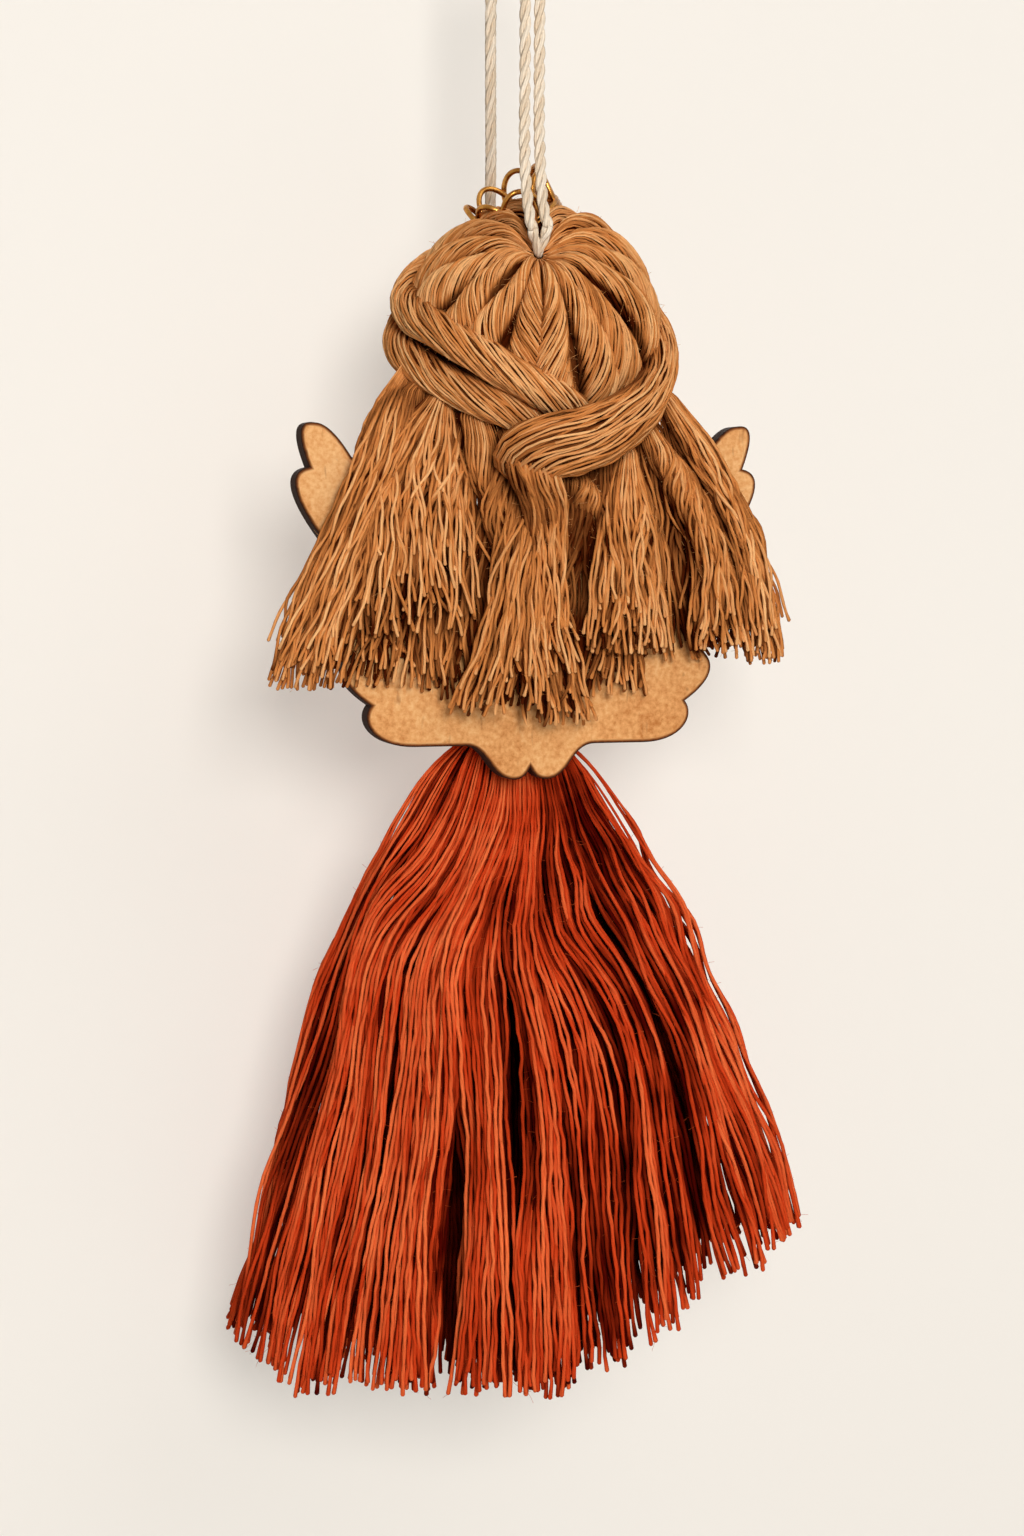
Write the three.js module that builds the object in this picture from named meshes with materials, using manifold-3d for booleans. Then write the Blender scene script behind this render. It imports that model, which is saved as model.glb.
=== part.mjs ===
// A hanging angel made of cotton yarn: a wooden bead for a head, hair of thick yarn cords, a flat board with
// wings on its back, and a long skirt of terracotta yarn. It hangs on a doubled cord.
// Millimetres, +Z up. The origin is the point under the cord's bight where a hook carries it.
// The angel's face looks along +Y and its wings are on the -Y side.
import * as THREE from "three";
import { mergeVertices } from "three/addons/utils/BufferGeometryUtils.js";
import Module from "manifold-3d";

const wasm = await Module();
wasm.setup();

// Gap between pieces that touch on the real angel
const GAP = 0.3;

// Hanging cord
const CORD_DIAMETER = 1.4;
const CORD_SIDES = 8;
const CORD_STEPS = 44;
const CORD_SWING_ROOM = 0.5;

// Head
const HEAD_X = 0.8;
const HEAD_Y = -4;
const HEAD_Z = -53.5;
const HEAD_RADIUS = 12.5;
const HEAD_BORE = 4;
const CORE_CORD_CLEARANCE = 0.3;

// Hair: cap cords fan out from the whorl, where the hanging cord goes in
const CAP_CORDS = 16;
const CAP_THICKNESS = 4.4;
const WHORL_LONGITUDE = -12;
const WHORL_LATITUDE = 42;
const WHORL_OPENING = 10;
const TIE_KNOT_RADIUS = 1.4;

// Hair: two ropes sweep from the left temple to the nape, one broad wrap from the right crosses over them
const ROPE_WIDTH = 5.2;
const ROPE_THICKNESS = 5.2;
const WRAP_WIDTH = 8.4;
const WRAP_THICKNESS = 5.6;

// Hair: loose locks hang over the wings and lift about a line under the ropes
const LOCK_HINGE_DROP = 1.5;
const CENTRE_HINGE_DROP = 7.5;
const CENTRE_HINGE_BACK = 1.9;
const LOCK_ROOT_RADIUS = 2;
const LOCK_THICKNESS = 5;
const LOCK_SETTLE = 12;

// Wings
const WING_BACK_Y = -6.8;
const WING_THICKNESS = 3;
const WING_TAIL_DROP = 5.5;

// Bodice, waist and skirt share one axis
const BODY_X = 0.5;
const BODY_Y = 3.2;
const NECK_CLEARANCE = 1.6;
const NECK_RADIUS = 3.9;
const BODICE_LENGTH = 21.3;
const BODICE_SLOPE = 4;
const BODICE_WIDTH = 16;
const BODICE_DEPTH = 11.6;
const WAIST_RADIUS = 3.9;
const WAIST_BEND = 1.4;
const WAIST_CORE_RADIUS = 3.2;
const BINDING_CORD = 0.9;
const BINDING_PITCH = 1.35;
const BINDING_MARGIN = 0.6;
const NECK_TURNS = 4;
const WAIST_TURNS = 4;
const GLUE_WIDTH = 9;
const GLUE_HEIGHT = 12;

// Skirt
const SKIRT_LOCKS = 12;
const SKIRT_TOP_DROP = 1;
const SKIRT_TOP_RADIUS = 4.4;
const SKIRT_LENGTH = 86.4;
const SKIRT_SHOULDER_LEFT = 10.2;
const SKIRT_SHOULDER_RIGHT = 9.8;
const SKIRT_SHOULDER_DROP = 6;
const SKIRT_FLARE_LEFT = 0.28;
const SKIRT_BULGE_LEFT = 1.4;
const SKIRT_BULGE_DROP = 36;
const SKIRT_BULGE_SPAN = 20;
const SKIRT_FLARE_RIGHT = 0.38;
const SKIRT_FLARE_BACK = 0.125;
const SKIRT_FLARE_FRONT = 0.16;
const SKIRT_TUCK_FROM = 5;
const SKIRT_TUCK_TO = 32;
const SKIRT_TURN = -17;
const SKIRT_TURN_FROM = 6;
const SKIRT_TURN_TO = 34;
const SKIRT_FOLD = 0.16;
const SKIRT_MAIN_FOLD = 0.24;
const SKIRT_FOLD_FROM = 4;
const SKIRT_FOLD_TO = 40;
const SKIRT_SWEEP_DROP = 23.5;
const SKIRT_SWEEP_SPAN = 9.5;
const HEM_RISE_FROM = 6;
const HEM_RISE_RIGHT = 0.5;
const HEM_RISE_BACK = 0.2;

// Crown
const CROWN_X = -1.7;
const CROWN_Y = -3.4;
const CROWN_RADIUS = 5;
const CROWN_HOOPS = 7;
const CROWN_WIRE = 0.85;
const CROWN_BAND_HEIGHT = 1.4;
const CROWN_HOOP_HEIGHT = 5;
const CROWN_SINK = 2;
const CROWN_TILT = 9;

const HEAD = new THREE.Vector3(HEAD_X, HEAD_Y, HEAD_Z);
const BODY_AXIS = new THREE.Vector3(BODY_X, BODY_Y, 0);
const SEAT = HEAD_RADIUS + GAP;
const HEAD_BOTTOM_Z = HEAD_Z - HEAD_RADIUS;
const NECK_TOP_Z = HEAD_BOTTOM_Z - NECK_CLEARANCE;
const NECK_BOTTOM_Z = NECK_TOP_Z - NECK_TURNS * BINDING_PITCH - 2 * BINDING_MARGIN;
const WAIST_TOP_Z = NECK_BOTTOM_Z - BODICE_LENGTH;
const WAIST_Z = WAIST_TOP_Z - WAIST_TURNS * BINDING_PITCH - 2 * BINDING_MARGIN - WAIST_BEND;
const WING_NOTCH_Z = WAIST_Z - WING_TAIL_DROP;
const RADIANS = Math.PI / 180;
const TURN = 2 * Math.PI;
const mix = THREE.MathUtils.lerp;
const smooth = THREE.MathUtils.smoothstep;

// Finishes
const finish = (color, roughness, metalness) =>
  new THREE.MeshStandardMaterial({ color, roughness, metalness });
const terracottaYarn = () => finish(0xb8431f, 0.95, 0);
const caramelYarn = () => finish(0xb9783f, 0.95, 0);
const creamCord = () => finish(0xe6d8c4, 0.9, 0);
const rawBoard = () => finish(0xc98f57, 0.8, 0);
const beadWood = () => finish(0xd9b98c, 0.6, 0);
const goldMetal = () => finish(0xb07a2a, 0.25, 1);
const clearGlue = () => finish(0xd8b46a, 0.3, 0);

// Solids: a geometry becomes a closed solid for a cut, and comes back as a geometry
function solid(geometry) {
  const bare = geometry.clone();
  bare.deleteAttribute("normal");
  bare.deleteAttribute("uv");
  const merged = mergeVertices(bare, 1e-4);
  const triVerts = new Uint32Array(merged.index.array);
  const vertProperties = new Float32Array(merged.attributes.position.array);
  return new wasm.Manifold(new wasm.Mesh({ numProp: 3, vertProperties, triVerts }));
}

function geometryOf(shape) {
  const mesh = shape.getMesh();
  const geometry = new THREE.BufferGeometry();
  geometry.setAttribute("position", new THREE.BufferAttribute(mesh.vertProperties, 3));
  geometry.setIndex(new THREE.BufferAttribute(mesh.triVerts, 1));
  return geometry;
}

function cut(geometry, cutters) {
  const left = cutters.reduce((body, cutter) => body.subtract(solid(cutter)), solid(geometry));
  return geometryOf(left);
}

// A closed skin over rings of points, each ring with as many points, with its two ends capped flat. The faces of
// one side may be split along their other diagonal, so that they match the side of a neighbour.
function skin(rings, flippedSide = -1) {
  const count = rings[0].length;
  const points = rings.flat();
  const faces = [];
  for (let r = 0; r + 1 < rings.length; r += 1) {
    for (let i = 0; i < count; i += 1) {
      const a = r * count + i;
      const b = r * count + ((i + 1) % count);
      if (i === flippedSide) faces.push(a, b, a + count, b, b + count, a + count);
      else faces.push(a, b, b + count, a, b + count, a + count);
    }
  }
  const cap = (ring, offset, forward) => {
    const middle = ring.reduce((sum, p) => sum.add(p), new THREE.Vector3()).divideScalar(count);
    const centre = points.push(middle) - 1;
    for (let i = 0; i < count; i += 1) {
      const a = offset + i;
      const b = offset + ((i + 1) % count);
      faces.push(...(forward ? [centre, a, b] : [centre, b, a]));
    }
  };
  cap(rings[0], 0, false);
  cap(rings.at(-1), (rings.length - 1) * count, true);
  const geometry = new THREE.BufferGeometry().setFromPoints(points);
  geometry.setIndex(signedVolume(points, faces) < 0 ? faces.reverse() : faces);
  return geometry;
}

function signedVolume(points, faces) {
  let sum = 0;
  for (let i = 0; i < faces.length; i += 3) {
    const [a, b, c] = [points[faces[i]], points[faces[i + 1]], points[faces[i + 2]]];
    sum += a.dot(b.clone().cross(c));
  }
  return sum / 6;
}

// A tube of one closed piece along a curve, round or flattened towards the side that faces outward
function sweep(curve, steps, sides, halfWidth, halfThickness, outward, grow = 0) {
  const rings = [];
  for (let i = 0; i <= steps; i += 1) {
    const share = i / steps;
    const tangent = curve.getTangent(share);
    const centre = curve.getPoint(share);
    if (i === 0) centre.addScaledVector(tangent, -grow);
    if (i === steps) centre.addScaledVector(tangent, grow);
    const out = outward(centre);
    out.addScaledVector(tangent, -out.dot(tangent)).normalize();
    const side = new THREE.Vector3().crossVectors(tangent, out);
    const ring = [];
    for (let k = 0; k < sides; k += 1) {
      const angle = (TURN * k) / sides;
      const point = centre.clone();
      point.addScaledVector(side, (halfWidth + grow) * Math.cos(angle));
      point.addScaledVector(out, (halfThickness + grow) * Math.sin(angle));
      ring.push(point);
    }
    rings.push(ring);
  }
  return skin(rings);
}

// Places on the head: longitude 0 at the back, positive to the right seen from behind, latitude up
function headDirection(longitude, latitude) {
  const lon = longitude * RADIANS;
  const lat = latitude * RADIANS;
  return new THREE.Vector3(
    Math.sin(lon) * Math.cos(lat),
    -Math.cos(lon) * Math.cos(lat),
    Math.sin(lat),
  );
}

const onHead = (longitude, latitude, height) =>
  HEAD.clone().addScaledVector(headDirection(longitude, latitude), SEAT + height);

const fromHead = (point) => point.clone().sub(HEAD).normalize();

// Hanging cord: each strand leaves the whorl, goes up, over the hook and down into the parting
const WHORL = headDirection(WHORL_LONGITUDE, WHORL_LATITUDE);
const CORD_NEAR_ROUTE = [
  [-2.85, -16.4, -41.6],
  [-2.95, -15.2, -39],
  [-2.6, -12.7, -33.6],
  [-1.75, -9.8, -27],
  [-1.05, -7.7, -20],
  [-0.75, -6.8, -12.5],
  [-0.75, -6.8, -6.1],
  [-0.75, -5.9, -2.7],
  [-0.75, -3.4, -0.2],
  [-0.8, 0, 0.7],
  [-0.95, 3, -0.1],
  [-1.2, 5.2, -2.6],
  [-1.4, 5.9, -6.4],
  [-1.5, 5.9, -13],
  [-1.5, 5.9, -21],
  [-1.5, 5.8, -30],
  [-1.5, 5.3, -38.9],
];
const CORD_FAR_ROUTE = [
  [-0.85, -16.4, -41.6],
  [-1, -15.2, -39],
  [-0.6, -12.7, -33.6],
  [0.15, -9.8, -27],
  [0.85, -7.7, -20],
  [1.15, -6.8, -12.5],
  [1.15, -6.8, -6.1],
  [1.15, -5.9, -2.6],
  [1.15, -3.4, 0.05],
  [1.1, 0.4, 1],
  [0.9, 4.1, 0.1],
  [0.3, 6.8, -2.6],
  [-0.5, 7.7, -6.4],
  [-0.9, 7.8, -13],
  [-0.9, 7.8, -21],
  [-0.9, 7.8, -30],
  [-0.9, 7.5, -39.6],
];

function cord(route) {
  const path = new THREE.CatmullRomCurve3(route.map((p) => new THREE.Vector3(...p)));
  const section = new THREE.Shape();
  for (let k = 0; k < CORD_SIDES; k += 1) {
    const angle = (TURN * k) / CORD_SIDES;
    const x = (CORD_DIAMETER / 2) * Math.cos(angle);
    const y = (CORD_DIAMETER / 2) * Math.sin(angle);
    if (k === 0) section.moveTo(x, y);
    else section.lineTo(x, y);
  }
  section.closePath();
  return new THREE.ExtrudeGeometry(section, { steps: CORD_STEPS, extrudePath: path });
}

// Room in the hair for a pair of cord ends, so that the loop can swing to either side
function swingRoom(place) {
  const ends = [CORD_NEAR_ROUTE, CORD_FAR_ROUTE].map((route) => new THREE.Vector3(...route.at(place)));
  const middle = ends[0].clone().lerp(ends[1], 0.5);
  const reach = ends[0].distanceTo(ends[1]) / 2 + CORD_DIAMETER / 2 + CORD_SWING_ROOM;
  return new THREE.SphereGeometry(reach, 14, 10).translate(middle.x, middle.y, middle.z);
}

// Head: a wooden ball with a bore, and the core cord that runs through it down to the neck
function headBead() {
  const bore = HEAD_BORE / 2;
  const rim = Math.acos(bore / HEAD_RADIUS);
  const profile = [];
  const arcSteps = 12;
  for (let i = 0; i <= arcSteps; i += 1) {
    const angle = mix(-rim, rim, i / arcSteps);
    profile.push(new THREE.Vector2(HEAD_RADIUS * Math.cos(angle), HEAD_RADIUS * Math.sin(angle)));
  }
  profile.push(profile[0].clone());
  const ball = new THREE.LatheGeometry(profile, 28);
  return ball.rotateX(Math.PI / 2).translate(HEAD_X, HEAD_Y, HEAD_Z);
}

function coreCord() {
  const radius = HEAD_BORE / 2 - CORE_CORD_CLEARANCE;
  const top = HEAD_Z + HEAD_RADIUS;
  const length = top - NECK_TOP_Z - GAP;
  const body = new THREE.CylinderGeometry(radius, radius, length, 12);
  return body.rotateX(Math.PI / 2).translate(HEAD_X, HEAD_Y, top - length / 2);
}

// Hair ropes: longitude, latitude and how far the rope stands off its seat, in shares of its thickness
const UPPER_ROPE_ROUTE = [
  [-163, 47, 0],
  [-143, 38, 0],
  [-116, 22, 0],
  [-88, 8, 0],
  [-57, -4, 0],
  [-32, -18.5, 0],
  [-9, -31, 0],
  [5, -37, 0],
];
const LOWER_ROPE_ROUTE = [
  [-164, 26, 0],
  [-137, 15.5, 0],
  [-110, -1, 0],
  [-90, -14, 0.12],
  [-74, -24, 0.08],
  [-46, -39, 0.04],
  [-22, -52, 0],
];
const WRAP_ROUTE = [
  [163, 37, 0],
  [143, 30, 0],
  [111, 12, 0],
  [86, -4, 0],
  [66, -16, 0.11],
  [42, -28, 0.29],
  [10, -35, 0.82],
  [-8, -42, 0.82],
  [-19, -49, 0.79],
  [-15, -57, 0.82],
];

function ropeCurve(route, thickness) {
  const points = route.map(([lon, lat, lift]) => onHead(lon, lat, thickness * (0.5 + lift)));
  return new THREE.CatmullRomCurve3(points);
}

const upperCurve = ropeCurve(UPPER_ROPE_ROUTE, ROPE_THICKNESS);
const lowerCurve = ropeCurve(LOWER_ROPE_ROUTE, ROPE_THICKNESS);
const wrapCurve = ropeCurve(WRAP_ROUTE, WRAP_THICKNESS);
const ROPE_STEPS = 20;
const ROPE_SIDES = 10;

const ropeAlong = (curve, width, thickness, grow = 0) =>
  sweep(curve, ROPE_STEPS, ROPE_SIDES, width / 2, thickness / 2, fromHead, grow);
const upperRope = (grow) => ropeAlong(upperCurve, ROPE_WIDTH, ROPE_THICKNESS, grow);
const lowerRope = (grow) => ropeAlong(lowerCurve, ROPE_WIDTH, ROPE_THICKNESS, grow);
const wrap = (grow) => ropeAlong(wrapCurve, WRAP_WIDTH, WRAP_THICKNESS, grow);

// Hair cap: wedges of a shell over the head, each rounded like a cord, from the whorl to the nearest rope
const WHORL_DOWN = new THREE.Vector3(0, 0, -1).addScaledVector(WHORL, WHORL.z).normalize();
const WHORL_SIDE = new THREE.Vector3().crossVectors(WHORL_DOWN, WHORL);

function capDirection(polar, around) {
  const direction = WHORL.clone().multiplyScalar(Math.cos(polar));
  direction.addScaledVector(WHORL_DOWN, Math.sin(polar) * Math.cos(around));
  return direction.addScaledVector(WHORL_SIDE, Math.sin(polar) * Math.sin(around));
}

// How far from the whorl the ropes lie, in each direction around it
const ROPE_SAMPLES = 240;
const ropePlaces = [upperCurve, wrapCurve].flatMap((curve) =>
  curve.getPoints(ROPE_SAMPLES).map((point) => {
    const direction = fromHead(point);
    const around = Math.atan2(direction.dot(WHORL_SIDE), direction.dot(WHORL_DOWN));
    return { around, polar: Math.acos(direction.dot(WHORL)) };
  }),
);

function capReach(around) {
  const offset = (place) => Math.abs(Math.atan2(Math.sin(place.around - around), Math.cos(place.around - around)));
  const nearest = Math.min(...ropePlaces.map(offset));
  const reached = ropePlaces.filter((place) => offset(place) < nearest + 2 * RADIANS);
  return Math.min(...reached.map((place) => place.polar));
}

function capCord(index) {
  const columns = 6;
  const rows = 7;
  const middle = (TURN * (index + 0.5)) / CAP_CORDS;
  const half = Math.PI / CAP_CORDS;
  const across = Array.from({ length: columns }, (_, i) => mix(-1, 1, i / (columns - 1)));
  const reaches = across.map((v) => capReach(middle + v * half));
  const start = WHORL_OPENING * RADIANS;
  const rings = [];
  for (let r = 0; r < rows; r += 1) {
    const polars = reaches.map((reach) => mix(start, reach, r / (rows - 1)));
    const place = (i, height) => {
      const spread = half - GAP / 2 / (SEAT * Math.sin(polars[i]));
      const direction = capDirection(polars[i], middle + across[i] * spread);
      return HEAD.clone().addScaledVector(direction, SEAT + height);
    };
    const crest = (v) => CAP_THICKNESS * (0.55 + 0.45 * Math.sqrt(1 - v * v));
    const outer = across.map((v, i) => place(i, crest(v)));
    const inner = across.map((v, i) => place(i, 0)).reverse();
    rings.push([...outer, ...inner]);
  }
  return skin(rings);
}

function tieKnot() {
  const centre = HEAD.clone().addScaledVector(WHORL, SEAT + TIE_KNOT_RADIUS);
  const ball = new THREE.SphereGeometry(TIE_KNOT_RADIUS, 14, 10);
  return ball.translate(centre.x, centre.y, centre.z);
}

// Wings: one board, the outline of its right half read from the notch of the tail upward, then mirrored
const TAIL_LOBE = { x: 2.1, drop: 1.55, shoulder: 8.7, rise: 2.9 };
const FOOT_LOBE = { from: 15.3, rise: 2.9, tip: [21.6, 6.2], notch: [21, 8.2] };
const FEATHERS = [
  { tip: [26.6, 12], notch: [23.3, 14.8] },
  { tip: [28.4, 17.6], notch: [25.1, 21.2] },
  { tip: [29.4, 24.2], notch: [26.3, 28] },
  { tip: [33.4, 37.2], notch: [28.8, 38.1] },
];
const TOP_FEATHER = { outer: [31.2, 44.2], top: [28.05, 43.6], inner: [23.4, 39.4] };
const WING_VALLEY = { x: 12, z: 31.5 };

// Each side starts at the tail's notch and ends in the valley between the wings; a mirrored side runs back
function wingHalf() {
  const half = new THREE.Path();
  half.moveTo(0, 0);
  half.quadraticCurveTo(TAIL_LOBE.x / 3, -TAIL_LOBE.drop, TAIL_LOBE.x, -TAIL_LOBE.drop);
  const ease = TAIL_LOBE.shoulder - TAIL_LOBE.x;
  half.bezierCurveTo(
    TAIL_LOBE.x + ease / 2, -TAIL_LOBE.drop,
    TAIL_LOBE.x + ease / 2, TAIL_LOBE.rise,
    TAIL_LOBE.shoulder, TAIL_LOBE.rise,
  );
  half.lineTo(FOOT_LOBE.from, FOOT_LOBE.rise);
  half.bezierCurveTo(
    FOOT_LOBE.tip[0] - 1, FOOT_LOBE.rise,
    FOOT_LOBE.tip[0] + 1, FOOT_LOBE.tip[1],
    ...FOOT_LOBE.notch,
  );
  for (const { tip, notch } of FEATHERS) {
    half.quadraticCurveTo(...tip, ...notch);
  }
  half.quadraticCurveTo(...TOP_FEATHER.outer, ...TOP_FEATHER.top);
  half.quadraticCurveTo(TOP_FEATHER.top[0] - 2, TOP_FEATHER.top[1], ...TOP_FEATHER.inner);
  half.quadraticCurveTo(WING_VALLEY.x, WING_VALLEY.z, 0, WING_VALLEY.z);
  return half.getPoints(6);
}

function wingBoard() {
  const right = wingHalf();
  const left = right.slice(1, -1).reverse();
  const outline = new THREE.Shape([...right, ...left.map((p) => new THREE.Vector2(-p.x, p.y))]);
  const board = new THREE.ExtrudeGeometry(outline, { depth: WING_THICKNESS, bevelEnabled: false });
  // The outline's up becomes +Z, and the board's thickness runs from its back face towards the face
  board.rotateX(Math.PI / 2);
  return board.translate(0, WING_BACK_Y + WING_THICKNESS, WING_NOTCH_Z);
}

// Loose locks: each is the space between two edges, given as height over the hinge, left edge and right edge
const LOCK_SEAT_Y = WING_BACK_Y - GAP;
const SIDE_HINGE = { y: LOCK_SEAT_Y - LOCK_ROOT_RADIUS, z: HEAD_BOTTOM_Z - LOCK_HINGE_DROP };
const CENTRE_HINGE = { y: SIDE_HINGE.y - CENTRE_HINGE_BACK, z: HEAD_BOTTOM_Z - CENTRE_HINGE_DROP };
const LOCKS = {
  hair_lock_left_outer: {
    hinge: SIDE_HINGE,
    edges: [[5, -18.8, -15], [-1.5, -22, -17.6], [-12.5, -28.4, -23.2], [-21.5, -32.6, -27], [-30, -35.2, -29.4]],
  },
  hair_lock_left_inner: {
    hinge: SIDE_HINGE,
    edges: [[4.7, -14.6, -10], [-1.5, -17.6, -9.8], [-12.5, -23.2, -11], [-22.5, -27.4, -12], [-32, -30, -13.2]],
  },
  hair_lock_centre_left: {
    hinge: CENTRE_HINGE,
    edges: [[6.5, -8.8, -4.4], [0.5, -9.9, -4], [-6.5, -11, -3.9], [-16.5, -12, -3.9], [-27.5, -13.2, -3.9]],
  },
  hair_lock_centre: {
    hinge: CENTRE_HINGE,
    edges: [[2.5, -4, 3.6], [-1.5, -4, 4.4], [-6.5, -3.9, 4.7], [-16.5, -3.9, 6], [-29, -3.9, 8.4]],
  },
  hair_lock_right_inner: {
    hinge: SIDE_HINGE,
    edges: [[3.9, 7.4, 13.2], [-1.5, 5.8, 13.6], [-12.5, 5.2, 16], [-20.5, 6.4, 16.6], [-31, 9, 16.9]],
  },
  hair_lock_right_middle: {
    hinge: SIDE_HINGE,
    edges: [[4.9, 13.2, 16.4], [-1.5, 13.6, 17.6], [-12.5, 16, 21.4], [-20.5, 16.6, 23.8], [-28.5, 16.9, 25.7]],
  },
  hair_lock_right_outer: {
    hinge: SIDE_HINGE,
    edges: [[6.5, 16, 19.6], [-1.5, 17.6, 21.8], [-12.5, 21.4, 26.8], [-18.5, 23.4, 29.8], [-26.5, 25.4, 32.8]],
  },
};

// Where an edge of a lock lies at a height over the hinge
function edgeAt(edges, column, height) {
  const next = Math.max(1, edges.findIndex((edge) => edge[0] <= height));
  const [upper, lower] = [edges[next - 1], edges[next]];
  return mix(upper[column], lower[column], (height - upper[0]) / (lower[0] - upper[0]));
}

function looseLock({ hinge, edges }) {
  const sides = 12;
  const rootSteps = 4;
  const fallSteps = 9;
  const [top, foot] = [edges[0][0], edges.at(-1)[0]];
  const heights = [];
  for (let i = 0; i < rootSteps; i += 1) {
    heights.push(mix(top, 0, (i / rootSteps) ** 2));
  }
  for (let i = 0; i <= fallSteps; i += 1) {
    heights.push(mix(0, foot, i / fallSteps));
  }
  const rings = heights.map((height) => {
    const below = Math.min(1, (top - height) / LOCK_ROOT_RADIUS);
    const root = LOCK_ROOT_RADIUS * (0.6 + 0.4 * Math.sqrt(below * (2 - below)));
    const settle = smooth(-height, 0, LOCK_SETTLE);
    const innerY = mix(hinge.y + root, LOCK_SEAT_Y, settle);
    const outerY = mix(hinge.y - root, LOCK_SEAT_Y - LOCK_THICKNESS, settle);
    const left = edgeAt(edges, 1, height) + GAP / 2;
    const right = edgeAt(edges, 2, height) - GAP / 2;
    const rounded = (value) => Math.sign(value) * Math.abs(value) ** 0.7;
    return Array.from({ length: sides }, (_, k) => {
      const angle = (TURN * k) / sides;
      const x = (left + right) / 2 + ((right - left) / 2) * rounded(Math.cos(angle));
      const y = (innerY + outerY) / 2 + ((innerY - outerY) / 2) * rounded(Math.sin(angle));
      return new THREE.Vector3(x, y, hinge.z + height);
    });
  });
  return skin(rings);
}

// Bodice: yarn between the two bindings, bent back at the neck towards the core cord
const CHEST_Z = mix(NECK_BOTTOM_Z, WAIST_TOP_Z, 0.55);
const BODICE_STATIONS = [
  [NECK_TOP_Z, NECK_RADIUS, NECK_RADIUS, 0.72],
  [NECK_BOTTOM_Z, NECK_RADIUS, NECK_RADIUS, 0.26],
  [NECK_BOTTOM_Z - BODICE_SLOPE, BODICE_WIDTH * 0.43, BODICE_DEPTH * 0.43, 0],
  [CHEST_Z, BODICE_WIDTH / 2, BODICE_DEPTH / 2, 0],
  [WAIST_TOP_Z + BODICE_SLOPE, BODICE_WIDTH * 0.42, BODICE_DEPTH * 0.42, 0],
  [WAIST_TOP_Z, WAIST_RADIUS, WAIST_RADIUS, 0],
  [WAIST_Z + WAIST_CORE_RADIUS + GAP, WAIST_RADIUS, WAIST_RADIUS, 0],
];

function bodice(grow = 0) {
  const sides = 20;
  const rings = BODICE_STATIONS.map(([z, halfWidth, halfDepth, back]) => {
    const x = mix(BODY_X, HEAD_X, back);
    const y = mix(BODY_Y, HEAD_Y, back);
    return Array.from({ length: sides }, (_, k) => {
      const angle = (TURN * k) / sides;
      const dx = (halfWidth + grow) * Math.cos(angle);
      const dy = (halfDepth + grow) * Math.sin(angle);
      return new THREE.Vector3(x + dx, y + dy, z);
    });
  });
  return skin(rings);
}

// Bindings: one unbroken cord wound round the yarn, its two ends straight for one diameter
const LOOP_STEPS = 24;
const LOOP_SIDES = 6;

function binding(name, centre, topZ, turns, coreRadius) {
  const radius = coreRadius + GAP + BINDING_CORD / 2;
  const line = [];
  for (let i = 0; i <= turns * LOOP_STEPS; i += 1) {
    const angle = (TURN * i) / LOOP_STEPS;
    const centreAt = centre(topZ - (BINDING_PITCH * i) / LOOP_STEPS);
    line.push(
      new THREE.Vector3(
        centreAt.x + radius * Math.cos(angle),
        centreAt.y + radius * Math.sin(angle),
        topZ - (BINDING_PITCH * i) / LOOP_STEPS,
      ),
    );
  }
  const straight = (from, to) => from.clone().sub(to).setLength(BINDING_CORD).add(from);
  line.unshift(straight(line[0], line[1]));
  line.push(straight(line.at(-1), line.at(-2)));
  console.log(`${name}: least gap to itself ${leastGap(line).toFixed(2)} mm`);
  const rings = line.map((point, i) => {
    const along = line[Math.min(i + 1, line.length - 1)].clone().sub(line[Math.max(i - 1, 0)]).normalize();
    const out = point.clone().sub(centre(point.z)).setZ(0);
    out.addScaledVector(along, -out.dot(along)).normalize();
    const up = new THREE.Vector3().crossVectors(along, out);
    return Array.from({ length: LOOP_SIDES }, (_, k) => {
      const angle = (TURN * k) / LOOP_SIDES;
      const spot = point.clone().addScaledVector(out, (BINDING_CORD / 2) * Math.cos(angle));
      return spot.addScaledVector(up, (BINDING_CORD / 2) * Math.sin(angle));
    });
  });
  return skin(rings);
}

function leastGap(line) {
  let least = Infinity;
  for (let i = 0; i < line.length; i += 1) {
    for (let j = i + LOOP_STEPS / 2; j < line.length; j += 1) {
      least = Math.min(least, line[i].distanceTo(line[j]) - BINDING_CORD);
    }
  }
  return least;
}

const waistCentre = () => BODY_AXIS.clone();

function neckCentre(z) {
  const [top, next] = BODICE_STATIONS;
  const share = (z - top[0]) / (next[0] - top[0]);
  const back = mix(top[3], next[3], share);
  return new THREE.Vector3(mix(BODY_X, HEAD_X, back), mix(BODY_Y, HEAD_Y, back), z);
}

// Glue: a pad that fills the space between the board and the bodice
function gluePad() {
  const frontOfBoard = WING_BACK_Y + WING_THICKNESS + GAP;
  const depth = BODY_Y - frontOfBoard;
  const pad = new THREE.BoxGeometry(GLUE_WIDTH, depth, GLUE_HEIGHT);
  pad.translate(BODY_X, frontOfBoard + depth / 2, CHEST_Z);
  return cut(pad, [bodice(GAP)]);
}

function waistCore() {
  const ball = new THREE.SphereGeometry(WAIST_CORE_RADIUS, 16, 12);
  return ball.rotateX(Math.PI / 2).translate(BODY_X, BODY_Y, WAIST_Z);
}

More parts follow.
